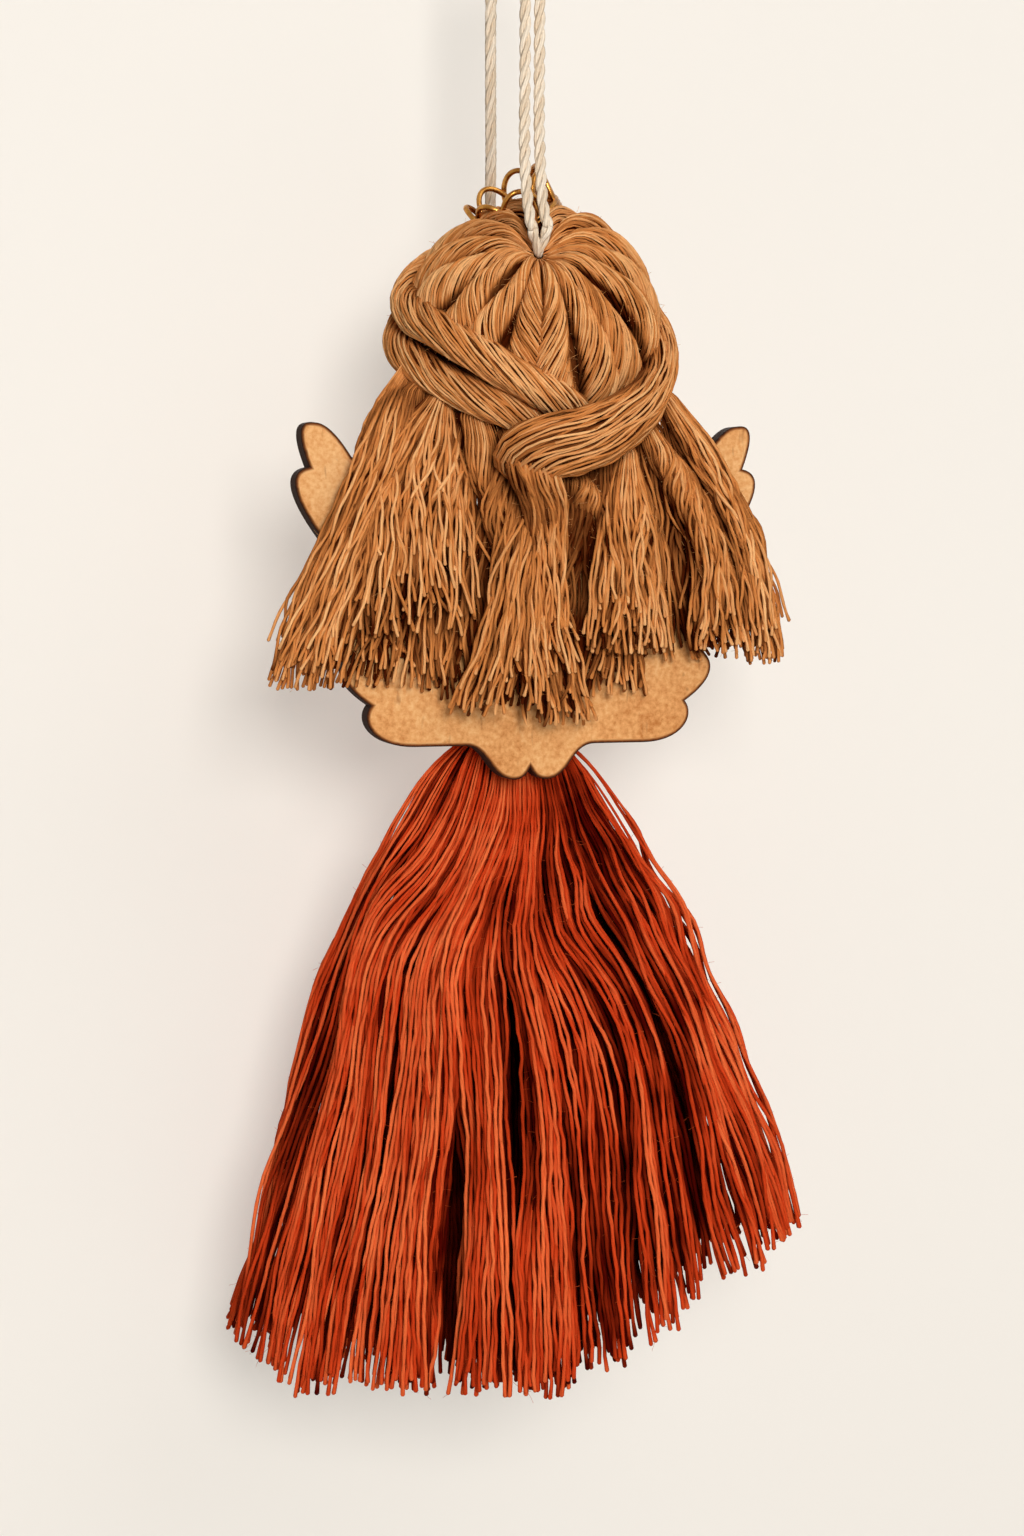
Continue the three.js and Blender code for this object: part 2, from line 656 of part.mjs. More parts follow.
// Skirt: wedges of one flared bundle, each lock rounded so that the folds run between them
function skirtReach(angle, drop) {
  const right = Math.cos(angle) > 0;
  const back = Math.sin(angle) > 0;
  const shoulder = right ? SKIRT_SHOULDER_RIGHT : SKIRT_SHOULDER_LEFT;
  const spread = SKIRT_TOP_RADIUS + shoulder * (1 - Math.exp(-drop / SKIRT_SHOULDER_DROP));
  const tucked = SKIRT_TOP_RADIUS + SKIRT_SHOULDER_RIGHT * smooth(drop, SKIRT_TUCK_FROM, SKIRT_TUCK_TO);
  const bulge = SKIRT_BULGE_LEFT * Math.exp(-(((drop - SKIRT_BULGE_DROP) / SKIRT_BULGE_SPAN) ** 2));
  const halfWidth = spread + (right ? drop * SKIRT_FLARE_RIGHT : drop * SKIRT_FLARE_LEFT + bulge);
  const flare = back ? SKIRT_FLARE_BACK : SKIRT_FLARE_FRONT;
  const halfDepth = tucked + drop * flare * smooth(drop, 0, SKIRT_TUCK_TO);
  return 1 / Math.hypot(Math.cos(angle) / halfWidth, Math.sin(angle) / halfDepth);
}

function hemDrop(angle) {
  const reach = skirtReach(angle, SKIRT_LENGTH);
  const rightward = Math.max(0, reach * Math.cos(angle) - HEM_RISE_FROM);
  const backward = Math.max(0, reach * Math.sin(angle));
  return SKIRT_LENGTH - HEM_RISE_RIGHT * rightward - HEM_RISE_BACK * backward;
}

// On the back, the right half draws in to the left and swings out again below, in one wave that fades towards
// the axis: how far it draws in, by the share of the way to the right edge
const SKIRT_SWEEP = [[-0.45, 0], [0, 2.2], [0.45, 6.2], [0.7, 5.4], [1, 1.8]];

function skirtSweep(x, angle, drop, reach) {
  const share = x / skirtReach(0, drop);
  const next = SKIRT_SWEEP.findIndex(([place]) => place > share);
  if (next === 0) return 0;
  const [from, to] = next < 0 ? SKIRT_SWEEP.slice(-2) : SKIRT_SWEEP.slice(next - 1, next + 1);
  const size = mix(from[1], to[1], Math.min(1, (share - from[0]) / (to[0] - from[0])));
  const facing = smooth(Math.sin(angle), 0, 0.35) * smooth(reach, GAP, SKIRT_TOP_RADIUS);
  return size * facing * Math.exp(-(((drop - SKIRT_SWEEP_DROP) / SKIRT_SWEEP_SPAN) ** 2));
}

function skirtLock(index) {
  const columns = 6;
  const rows = 12;
  const half = Math.PI / SKIRT_LOCKS;
  const middle = (2 * index + 1) * half;
  const apart = GAP / 2 / Math.sin(half);
  const hollow = WAIST_CORE_RADIUS + GAP;
  const across = Array.from({ length: columns }, (_, i) => mix(-1, 1, i / (columns - 1)));
  const lengths = across.map((v) => hemDrop(middle + v * half));
  const rings = [];
  for (let r = 0; r < rows; r += 1) {
    const share = (r / (rows - 1)) ** 1.5;
    const place = (i, drop, reach) => {
      const angle = middle + across[i] * half;
      const turn = SKIRT_TURN * RADIANS * smooth(drop, SKIRT_TURN_FROM, SKIRT_TURN_TO);
      const straight = reach * Math.cos(angle) + apart * Math.cos(middle);
      const x = straight - skirtSweep(straight, angle, drop, reach);
      const y = -reach * Math.sin(angle) - apart * Math.sin(middle);
      const sideways = x * Math.cos(turn) - y * Math.sin(turn);
      const ahead = x * Math.sin(turn) + y * Math.cos(turn);
      return new THREE.Vector3(BODY_X + sideways, BODY_Y + ahead, WAIST_Z - SKIRT_TOP_DROP - drop);
    };
    const outer = across.map((v, i) => {
      const drop = share * lengths[i];
      const atBack = Math.abs(middle + Math.sign(v) * half - Math.PI / 2) < half;
      const depth = atBack ? SKIRT_MAIN_FOLD : SKIRT_FOLD;
      const fold = 1 - depth * smooth(drop, SKIRT_FOLD_FROM, SKIRT_FOLD_TO) * v ** 4;
      return place(i, drop, fold * skirtReach(middle + v * half, drop));
    });
    const core = across.map((v, i) => {
      const drop = share * lengths[i];
      const clear = Math.sqrt(Math.max(0, hollow ** 2 - (drop + SKIRT_TOP_DROP) ** 2));
      return place(i, drop, Math.max(GAP, clear));
    });
    rings.push([...outer, ...core.reverse()]);
  }
  const lastSide = 2 * columns - 1;
  return skin(rings, lastSide);
}

// Crown: a band with round hoops, one casting, sunk a little into the hair and tipped back
const CROWN_SEAT = HEAD_Z + Math.sqrt((SEAT + CAP_THICKNESS) ** 2 - CROWN_RADIUS ** 2) - CROWN_SINK;

function crownRing(height, grow) {
  const inner = CROWN_RADIUS - CROWN_WIRE / 2 - grow;
  const outer = CROWN_RADIUS + CROWN_WIRE / 2 + grow;
  const corners = [[inner, -grow], [outer, -grow], [outer, height], [inner, height]];
  const profile = [...corners, corners[0]].map((p) => new THREE.Vector2(...p));
  return new THREE.LatheGeometry(profile, 24).rotateX(Math.PI / 2);
}

function placeCrown(geometry) {
  geometry.rotateX(CROWN_TILT * RADIANS);
  return geometry.translate(CROWN_X, CROWN_Y, CROWN_SEAT);
}

function crownHoop(index) {
  const steps = 12;
  const spread = (TURN / CROWN_HOOPS) * 0.62;
  const points = [];
  for (let i = 0; i <= steps; i += 1) {
    const share = mix(-1, 1, i / steps);
    const angle = (TURN * index) / CROWN_HOOPS + share * spread;
    const rise = CROWN_HOOP_HEIGHT * Math.sqrt(Math.max(0, 1 - share * share));
    const z = CROWN_BAND_HEIGHT / 2 + rise;
    const reach = CROWN_RADIUS + 0.06 * rise;
    points.push(new THREE.Vector3(reach * Math.cos(angle), reach * Math.sin(angle), z));
  }
  const curve = new THREE.CatmullRomCurve3(points);
  const outward = (point) => point.clone().setZ(0);
  return sweep(curve, steps, 5, CROWN_WIRE / 2, CROWN_WIRE / 2, outward);
}

function crown() {
  let casting = solid(crownRing(CROWN_BAND_HEIGHT, 0));
  for (let i = 0; i < CROWN_HOOPS; i += 1) casting = casting.add(solid(crownHoop(i)));
  return placeCrown(geometryOf(casting));
}

// Assembly
const angel = new THREE.Group();

function add(name, geometry, material) {
  const mesh = new THREE.Mesh(geometry, material);
  mesh.name = name;
  angel.add(mesh);
}

const numbered = (stem, index) => `${stem}_${String(index + 1).padStart(2, "0")}`;

add("hanging_cord_near", cord(CORD_NEAR_ROUTE), creamCord());
add("hanging_cord_far", cord(CORD_FAR_ROUTE), creamCord());
add("hair_tie_knot", tieKnot(), creamCord());
add("head_bead", headBead(), beadWood());
add("head_core_cord", coreCord(), creamCord());
add("crown", crown(), goldMetal());

const crownGroove = placeCrown(crownRing(CROWN_BAND_HEIGHT + CROWN_HOOP_HEIGHT, GAP));
const ropeCutters = [upperRope(GAP), lowerRope(GAP), wrap(GAP)];
const capCutters = [...ropeCutters, crownGroove, swingRoom(0), swingRoom(-1)];
for (let i = 0; i < CAP_CORDS; i += 1) {
  add(numbered("hair_cap_cord", i), cut(capCord(i), capCutters), caramelYarn());
}
add("hair_rope_left_upper", cut(upperRope(0), [wrap(GAP)]), caramelYarn());
add("hair_rope_left_lower", cut(lowerRope(0), [wrap(GAP), upperRope(GAP)]), caramelYarn());
add("hair_wrap_right", wrap(0), caramelYarn());
for (const [name, lock] of Object.entries(LOCKS)) {
  add(name, cut(looseLock(lock), ropeCutters), caramelYarn());
}

add("wing_board", wingBoard(), rawBoard());
add("wing_glue", gluePad(), clearGlue());
add("bodice", bodice(), terracottaYarn());
const neckStart = NECK_TOP_Z - BINDING_MARGIN;
const waistStart = WAIST_TOP_Z - BINDING_MARGIN;
add("neck_binding", binding("neck_binding", neckCentre, neckStart, NECK_TURNS, NECK_RADIUS), creamCord());
add("waist_binding", binding("waist_binding", waistCentre, waistStart, WAIST_TURNS, WAIST_RADIUS), creamCord());
add("waist_core", waistCore(), terracottaYarn());
for (let i = 0; i < SKIRT_LOCKS; i += 1) {
  add(numbered("skirt_lock", i), skirtLock(i), terracottaYarn());
}

export default angel;
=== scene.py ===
import math

import bpy
import numpy as np
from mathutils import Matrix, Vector
from mathutils.geometry import tessellate_polygon


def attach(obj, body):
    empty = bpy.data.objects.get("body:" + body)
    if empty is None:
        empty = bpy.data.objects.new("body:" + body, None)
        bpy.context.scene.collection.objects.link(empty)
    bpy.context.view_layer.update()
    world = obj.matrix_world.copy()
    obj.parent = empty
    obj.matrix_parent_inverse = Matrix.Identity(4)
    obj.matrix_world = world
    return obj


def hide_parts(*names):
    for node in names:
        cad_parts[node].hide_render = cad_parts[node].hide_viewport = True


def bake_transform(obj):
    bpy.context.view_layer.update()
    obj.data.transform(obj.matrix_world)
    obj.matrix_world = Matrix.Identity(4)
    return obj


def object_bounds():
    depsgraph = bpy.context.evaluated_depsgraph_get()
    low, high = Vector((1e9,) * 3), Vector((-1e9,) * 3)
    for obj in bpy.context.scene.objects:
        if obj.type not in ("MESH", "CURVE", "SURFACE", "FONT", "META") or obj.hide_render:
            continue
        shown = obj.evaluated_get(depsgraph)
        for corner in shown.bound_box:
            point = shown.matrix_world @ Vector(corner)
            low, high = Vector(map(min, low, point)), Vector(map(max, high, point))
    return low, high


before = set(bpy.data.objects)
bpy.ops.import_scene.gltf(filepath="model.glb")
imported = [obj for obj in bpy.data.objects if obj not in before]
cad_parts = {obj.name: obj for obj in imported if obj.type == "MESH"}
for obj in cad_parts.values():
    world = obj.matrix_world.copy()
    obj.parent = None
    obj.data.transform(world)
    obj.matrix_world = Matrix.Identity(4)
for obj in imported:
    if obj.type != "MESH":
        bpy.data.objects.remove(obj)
cad_low, cad_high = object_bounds()

# A hanging yarn angel, seen from behind: hair, wings, crown, cord and skirt over the CAD frame.
# Lengths are millimetres in the row frame until a mesh is made, which is in metres.
MM = 0.001
TURN = 2 * math.pi

# The photo's camera: 0.13 mm a pixel at the figure's axis
CAMERA_AZIMUTH = math.radians(-17)
CAMERA_ELEVATION = math.radians(4.5)
CAMERA_DISTANCE = 400
CAMERA_TARGET = np.array([0, 0, -109.6])
CAMERA_SIDESTEP = -0.39
CAMERA_LENS = 72.1
SCREEN_RIGHT = np.array([math.cos(CAMERA_AZIMUTH), math.sin(CAMERA_AZIMUTH), 0])
TO_CAMERA = np.array([math.sin(CAMERA_AZIMUTH), -math.cos(CAMERA_AZIMUTH), 0])

# Head
HEAD = np.array([0.8, -4, -53.5])
HEAD_RADIUS = 12.5
HEAD_BORE = 4
GAP = 0.3
SEAT = HEAD_RADIUS + GAP

# Hair
HAIR_YARN = 0.215
BUNDLE_YARN = 0.22
YARN_ROOM = 1.32
YARN_KINK = 0.1
YARN_KINK_LENGTH = 6.5
PUSH_EVENING = 3
TONE_EVENING = 6
FUZZ_STEPS = 4
FUZZ_RADIUS = 0.022
FUZZ_LENGTH = (0.35, 1)
COVER_CELL = 0.5
COVER_WIDE = 6
CAP_CORDS = 16
CAP_THICKNESS = 3.8
CAP_YARNS = 36
CAP_TUCK = math.radians(8)
CAP_GROUND = 0.6
PAINTED_GROOVE_TONE = 0.06
CAP_GROUND_REACH = math.radians(32)
WHORL_LONGITUDE = -12
WHORL_LATITUDE = 38
ROPE_WIDTH = 5.2
ROPE_STAND_OFF = 0.6
WRAP_WIDTH = 8.8
WRAP_THICKNESS = 5.6
WRAP_SWELL = 0.2
LOCK_ROOT_RADIUS = 2
LOCK_THICKNESS = 5
LOCK_SETTLE = 12
LOCK_ROW = 1.4
LOCK_TUCK_RISE = 0.12
LOCK_TUCK_HEIGHT = 0.8

# Wings
WING_BACK_Y = -6.8
WING_THICKNESS = 3
WING_NOTCH_Z = -109
WING_BEVEL = 0.18
WING_BURN = 0.55

# Bodice, waist and skirt
BODY_X = 0.5
BODY_Y = 3.2
NECK_TOP_Z = -67.6
NECK_BOTTOM_Z = -74.2
WAIST_TOP_Z = -95.5
WAIST_Z = -103.5
NECK_RADIUS = 3.9
WAIST_CORE_RADIUS = 3.2
BODICE_WIDTH = 16
BODICE_DEPTH = 11.6
BINDING_CORD = 0.9
BINDING_PITCH = 1.35
BINDING_TURNS = 4
BINDING_MARGIN = 0.6
SKIRT_YARN = 0.265
SKIRT_ROOM = 1.3
SKIRT_FUZZ = 300
SKIRT_LOCKS = 12
SKIRT_TOP_DROP = 1
SKIRT_TOP_RADIUS = 4.4
SKIRT_LENGTH = 86.4

# Crown
CROWN_CENTRE = np.array([0.4, -3.4])
CROWN_RADIUS = 5
CROWN_HOOPS = 7
CROWN_WIRE = 0.36
CROWN_BAND_HEIGHT = 1.4
CROWN_HOOP_HEIGHT = 5
CROWN_SINK = 2.5
CROWN_TILT = math.radians(9)
CROWN_ROLL = math.radians(34)


# Small helpers

def mix(low, high, share):
    return low + (high - low) * share


def smooth(value, low, high):
    share = np.clip((value - low) / (high - low), 0, 1)
    return share * share * (3 - 2 * share)


def unit(vectors):
    return vectors / np.linalg.norm(vectors, axis=-1, keepdims=True)


def turned(first, second, angle):
    """Two coordinates after a turn by an angle."""
    return first * np.cos(angle) - second * np.sin(angle), first * np.sin(angle) + second * np.cos(angle)


def lengths_along(lines):
    """How far along its line each point lies."""
    steps = np.linalg.norm(np.diff(lines, axis=-2), axis=-1)
    return np.concatenate([0 * steps[..., :1], np.cumsum(steps, axis=-1)], axis=-1)


def resample(points, count):
    """The same line with evenly spaced points."""
    lengths = lengths_along(points)
    places = np.linspace(0, lengths[-1], count)
    return np.stack([np.interp(places, lengths, points[:, axis]) for axis in range(3)], axis=1)


def carried(along, start):
    """Two directions across each line, square to each other and carried along it without a twist."""
    side = np.empty_like(along)
    side[..., 0, :] = unit(np.cross(along[..., 0, :], start))
    for i in range(1, along.shape[-2]):
        last = side[..., i - 1, :]
        ahead = along[..., i, :]
        side[..., i, :] = unit(last - ahead * (last * ahead).sum(axis=-1, keepdims=True))
    return side, np.cross(along, side)


def smooth_line(points, count, fine=24):
    """An evenly spaced smooth curve through the points, a centripetal Catmull-Rom spline."""
    points = np.asarray(points, float)
    ends = [2 * points[0] - points[1], 2 * points[-1] - points[-2]]
    padded = np.vstack([ends[0], points, ends[1]])
    pieces = []
    for a, b, c, d in zip(padded, padded[1:], padded[2:], padded[3:]):
        knots = np.cumsum([0] + [np.linalg.norm(q - p) ** 0.5 for p, q in ((a, b), (b, c), (c, d))])
        t = np.linspace(knots[1], knots[2], fine, endpoint=False)[:, None]

        def between(p, q, low, high):
            return (p * (knots[high] - t) + q * (t - knots[low])) / (knots[high] - knots[low])

        ab = between(a, b, 0, 1)
        bc = between(b, c, 1, 2)
        cd = between(c, d, 2, 3)
        pieces.append(between(between(ab, bc, 0, 2), between(bc, cd, 1, 3), 1, 2))
    return resample(np.vstack(pieces + [points[-1:]]), count)


class Ripple:
    """A smooth random field: a sum of plane waves of about one wavelength."""

    def __init__(self, seed, wavelength, stretch=(1, 1, 1), waves=20):
        rng = np.random.default_rng(seed)
        ways = unit(rng.normal(size=(waves, 3))) * np.asarray(stretch)
        self.ways = ways * TURN / wavelength * rng.uniform(0.7, 1.4, (waves, 1))
        self.phases = rng.uniform(0, TURN, waves)
        self.scale = math.sqrt(2 / waves)

    def __call__(self, points):
        return np.sin(points @ self.ways.T + self.phases).sum(axis=-1) * self.scale


WOBBLE_WAVES = 3
WOBBLE_RATES = (0.6, 1.5)
WOBBLE_HEIGHT = 1.7
PUSH_ROOM = 0.95
PUSH_STEP = 0.3
TINY = 1e-6
# Painted shade on a yarn from those over it, right beside it and all around it. Each has its share of the
# darkening, and from and to how many millimetres it stands higher.
PAINTED_COVER_SHADES = ((0.6, 0.1, 0.6), (0.38, 0.15, 0.9), (0.38, 0.2, 2.2))
FUZZ_BEND = 0.6
FUZZ_TONE = 0.75


def wobble(rng, count, lengths, wavelength, size):
    """A wavering along each strand on its own: three waves of about one wavelength."""
    total = 0
    for _ in range(WOBBLE_WAVES):
        phase = rng.uniform(0, TURN, (count, 1))
        rate = TURN / wavelength * rng.uniform(*WOBBLE_RATES, (count, 1))
        total = total + np.sin(lengths * rate + phase)
    return total * size / WOBBLE_HEIGHT


def places_around(rng, count, jitter):
    """Angles round a bundle, one for each yarn, a little off their even places."""
    return TURN * (np.arange(count) + rng.uniform(-jitter, jitter, count))[:, None] / count


def push_apart(points, radii, rounds, reach):
    """Pushes strands out of one another. Strands that touch are near each other in the list."""
    points = points.copy()
    for _ in range(rounds):
        shift = np.zeros_like(points[..., :2])
        for step in range(1, reach + 1):
            apart = points[..., :2] - np.roll(points[..., :2], -step, axis=0)
            distance = np.hypot(apart[..., 0], apart[..., 1]) + TINY
            wanted = (radii + np.roll(radii, -step, axis=0)) * PUSH_ROOM
            push = apart * (np.clip(wanted - distance, 0, None) / distance * PUSH_STEP)[..., None]
            shift += push - np.roll(push, step, axis=0)
        points[..., :2] += evened(shift, 1)
    return evened(points, PUSH_EVENING)


def evened(values, rounds):
    """The values with their unevenness along each strand taken out, the ends kept."""
    values = values.copy()
    for _ in range(rounds):
        values[:, 1:-1] = (values[:, :-2] + 2 * values[:, 1:-1] + values[:, 2:]) / 4
    return values


def painted_cover_light(out, across, along, row_length):
    """How open each place on the yarns lies, from 0 deep under its neighbours to 1 on top of them: painted
    shade for their tones.
    """
    column = np.floor(across / COVER_CELL).astype(int)
    row = np.floor(along / row_length).astype(int)
    column = column - column.min() + COVER_WIDE
    row = row - row.min()
    empty = out.min() - 1
    top = np.full((column.max() + COVER_WIDE + 1, row.max() + 1), empty)
    np.maximum.at(top, (column, row), out)
    beside = np.maximum(np.maximum(np.roll(top, 1, axis=0), np.roll(top, -1, axis=0)), top)
    filled = (top > empty) * 1.0
    spans = range(-COVER_WIDE, COVER_WIDE + 1)
    total = sum(np.roll(top * filled, step, axis=0) for step in spans)
    wide = total / np.maximum(sum(np.roll(filled, step, axis=0) for step in spans), 1)
    painted_cover_shade = sum(
        share * smooth(cover[column, row] - out, low, high)
        for cover, (share, low, high) in zip((top, beside, wide), PAINTED_COVER_SHADES)
    )
    return evened(np.clip(1 - painted_cover_shade, 0, 1), TONE_EVENING)


def fuzz(strands, rng, lines, count):
    """Loose fibres that stand off the yarns."""
    yarn = rng.integers(0, lines.shape[0], count)
    place = rng.integers(lines.shape[1] // 4, lines.shape[1], count)
    start = lines[yarn, place][:, None]
    away = unit(rng.normal(size=(count, 1, 3)))
    bend = rng.normal(size=(count, 1, 3)) * FUZZ_BEND
    share = np.linspace(0, 1, FUZZ_STEPS)[None, :, None]
    length = rng.uniform(*FUZZ_LENGTH, (count, 1, 1))
    strands.add(start + (away * share + bend * share ** 2) * length, FUZZ_RADIUS, FUZZ_TONE, sides=3)


# Strands: round yarns gathered into one mesh

STRAND_SIDE = (0.31, 0.94, 0.12)
TIP_LENGTH = 0.6
TIP_WIDTH = 0.45


class Strands:
    """Each strand has a line, a radius along it and a tone, which varies its colour."""

    def __init__(self):
        self.points = []
        self.faces = []
        self.uvs = []
        self.tones = []
        self.total = 0

    def add(self, lines, radii, tones, sides=5, rounded=False):
        lines = np.asarray(lines, float)
        count, steps, _ = lines.shape
        radii = np.broadcast_to(radii, (count, steps))
        if np.ndim(tones) == 1:
            tones = np.asarray(tones)[:, None]
        tones = np.broadcast_to(tones, (count, steps))
        if rounded:
            tip = lines[:, -1:] + unit(lines[:, -1:] - lines[:, -2:-1]) * radii[:, -1:, None] * TIP_LENGTH
            lines = np.concatenate([lines, tip], axis=1)
            radii = np.concatenate([radii, radii[:, -1:] * TIP_WIDTH], axis=1)
            tones = np.concatenate([tones, tones[:, -1:]], axis=1)
            steps += 1
        side, across = carried(unit(np.gradient(lines, axis=1)), STRAND_SIDE)
        angles = TURN * np.arange(sides)[:, None] / sides
        ring = side[:, :, None] * np.cos(angles) + across[:, :, None] * np.sin(angles)
        self.points.append((lines[:, :, None] + ring * radii[:, :, None, None]).reshape(-1, 3))

        index = self.total + np.arange(count * steps * sides).reshape(count, steps, sides)
        following = np.roll(index, -1, axis=2)
        quads = np.stack([index[:, :-1], following[:, :-1], following[:, 1:], index[:, 1:]], axis=-1)
        caps = np.concatenate([index[:, 0, ::-1], index[:, -1]])
        self.faces += [quads.reshape(-1, 4), caps]
        self.total += index.size

        lengths = lengths_along(lines)
        low = np.broadcast_to(lengths[:, :-1, None], index[:, 1:].shape)
        high = np.broadcast_to(lengths[:, 1:, None], index[:, 1:].shape)
        left = np.broadcast_to(np.arange(sides) / sides, low.shape)
        right = left + 1 / sides
        corners = [(left, low), (right, low), (right, high), (left, high)]
        uv = np.stack([np.stack(corner, axis=-1) for corner in corners], axis=-2)
        self.uvs += [uv.reshape(-1, 2), np.zeros((caps.size, 2))]
        self.tones.append(np.repeat(tones, sides))

    def mesh(self, name):
        made = bpy.data.meshes.new(name)
        made.vertices.add(self.total)
        made.vertices.foreach_set("co", (np.concatenate(self.points) * MM).astype(np.float32).ravel())
        corners = np.concatenate([face.ravel() for face in self.faces]).astype(np.int32)
        sizes = np.concatenate([np.full(len(face), face.shape[1]) for face in self.faces])
        starts = np.concatenate([[0], np.cumsum(sizes)[:-1]]).astype(np.int32)
        made.loops.add(len(corners))
        made.loops.foreach_set("vertex_index", corners)
        made.polygons.add(len(starts))
        made.polygons.foreach_set("loop_start", starts)
        made.polygons.foreach_set("use_smooth", np.ones(len(starts), bool))
        layer = made.uv_layers.new(name="Yarn")
        layer.data.foreach_set("uv", np.concatenate(self.uvs).astype(np.float32).ravel())
        tone = made.attributes.new("tone", "FLOAT", "POINT")
        tone.data.foreach_set("value", np.concatenate(self.tones).astype(np.float32))
        made.update(calc_edges=True)
        made.validate()
        return made

    def put(self, name, material, body, slot, node):
        return put(name, self.mesh(name), material, body, slot, node)


def put(name, mesh, material, body, slot, *nodes):
    """A piece of the angel: it stands for CAD nodes and rides on a body, if one is given."""
    piece = bpy.data.objects.new(name, mesh)
    bpy.context.scene.collection.objects.link(piece)
    mesh.materials.append(material)
    if body:
        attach(piece, body)
    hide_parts(*nodes)
    return piece


# Materials

def srgb(red, green, blue):
    """A colour written as on a screen, from 0 to 255."""
    def linear(value):
        share = value / 255
        return share / 12.92 if share <= 0.04045 else ((share + 0.055) / 1.055) ** 2.4

    return (linear(red), linear(green), linear(blue), 1)


class Nodes:
    """Makes and links the nodes of one tree."""

    def __init__(self, tree):
        self.tree = tree

    def node(self, kind, settings=None, **inputs):
        made = self.tree.nodes.new(kind)
        for key, value in (settings or {}).items():
            setattr(made, key, value)
        for key, value in inputs.items():
            socket = made.inputs[int(key[1:]) if key[1:].isdigit() else key.replace("_", " ")]
            self.feed(socket, value)
        return made

    def feed(self, socket, value):
        if isinstance(value, bpy.types.NodeSocket):
            self.tree.links.new(value, socket)
        else:
            socket.default_value = value

    def math(self, operation, first, second=0.0):
        return self.node("ShaderNodeMath", {"operation": operation}, i0=first, i1=second).outputs[0]

    def plus(self, first, second):
        return self.math("ADD", first, second)

    def times(self, first, second):
        return self.math("MULTIPLY", first, second)

    def scaled(self, value, size, base):
        return self.plus(self.times(value, size), base)

    def seen(self):
        """1 for what the camera sees, straight or in a reflection, and 0 for light that falls on things."""
        path = self.node("ShaderNodeLightPath")
        rays = self.plus(path.outputs["Is Camera Ray"], path.outputs["Is Glossy Ray"])
        return self.math("MINIMUM", self.plus(rays, path.outputs["Is Transmission Ray"]), 1.0)


class Finish(Nodes):
    """A node material around one Principled shader."""

    def __init__(self, name, roughness, specular=0.3):
        self.material = bpy.data.materials.new(name)
        self.material.use_nodes = True
        super().__init__(self.material.node_tree)
        self.shader = self.tree.nodes["Principled BSDF"]
        self.shader.inputs["Roughness"].default_value = roughness
        self.shader.inputs["Specular IOR Level"].default_value = specular

    def blend(self, kind, share, first, second):
        made = self.node("ShaderNodeMix", {"data_type": "RGBA", "blend_type": kind})
        self.feed(made.inputs["Factor"], share)
        self.feed(made.inputs[6], first)
        self.feed(made.inputs[7], second)
        return made.outputs[2]

    def place(self):
        return self.node("ShaderNodeTexCoord").outputs["Object"]

    def stretched(self, rate):
        """Places for a pattern that is drawn out along Z."""
        made = self.node("ShaderNodeMapping", Scale=(1.0, 1.0, rate))
        self.feed(made.inputs["Vector"], self.place())
        return made.outputs[0]

    def attribute(self, name):
        return self.node("ShaderNodeAttribute", {"attribute_name": name}).outputs["Fac"]

    def noise(self, scale, detail=2.0, vector=None, roughness=0.5):
        made = self.node("ShaderNodeTexNoise", Scale=scale, Detail=detail, Roughness=roughness)
        self.feed(made.inputs["Vector"], vector or self.place())
        return made.outputs[0]

    def ramp(self, value, stops):
        made = self.node("ShaderNodeValToRGB", Fac=value)
        elements = made.color_ramp.elements
        while len(elements) < len(stops):
            elements.new(0.5)
        for element, (position, colour) in zip(elements, stops):
            element.position = position
            element.color = colour
        return made.outputs["Color"]

    def grey(self, value, low, high):
        """A number stretched from the range low to high to 0 to 1."""
        made = self.node("ShaderNodeMapRange", i0=value, i1=low, i2=high)
        return made.outputs[0]

    def bump(self, height, distance, strength=1.0):
        made = self.node("ShaderNodeBump", Height=height, Distance=distance, Strength=strength)
        self.feed(self.shader.inputs["Normal"], made.outputs[0])

    def colour(self, value):
        self.feed(self.shader.inputs["Base Color"], value)


def yarn_finish(name, deep, plain, pale, plies, pitch):
    """Twisted cotton: plies wind round each yarn, fibres stand off it, and yarns differ in tone. The furrows
    between plies are painted darker as shade.
    """
    finish = Finish(name, roughness=0.9, specular=0.02)
    patches = finish.noise(scale=140.0)
    shade = finish.plus(finish.attribute("tone"), finish.scaled(patches, size=0.5, base=-0.25))
    colour = finish.ramp(shade, [(0.0, deep), (0.5, plain), (1.0, pale)])
    uv = finish.node("ShaderNodeUVMap", {"uv_map": "Yarn"}).outputs[0]
    ways = finish.node("ShaderNodeSeparateXYZ", Vector=uv)
    winding = finish.times(ways.outputs[0], float(plies))
    running = finish.times(ways.outputs[1], 1 / pitch)
    phase = finish.times(finish.plus(winding, running), math.pi)
    ply = finish.math("ABSOLUTE", finish.math("SINE", phase))
    fibre = finish.noise(scale=2600.0, detail=3.0)
    # Painted shade in the furrows between the plies; the fibres vary the tone at random
    painted_furrow_shade = finish.scaled(ply, size=0.16, base=0.86)
    fluff = finish.scaled(fibre, size=0.3, base=0.85)
    furrow_shade_and_fluff = finish.times(painted_furrow_shade, fluff)
    shading = finish.node("ShaderNodeCombineXYZ", i0=furrow_shade_and_fluff, i1=furrow_shade_and_fluff, i2=furrow_shade_and_fluff).outputs[0]
    finish.colour(finish.blend("MULTIPLY", 1.0, colour, shading))
    finish.bump(finish.plus(ply, finish.times(fibre, 0.8)), distance=0.00008, strength=0.6)
    return finish.material


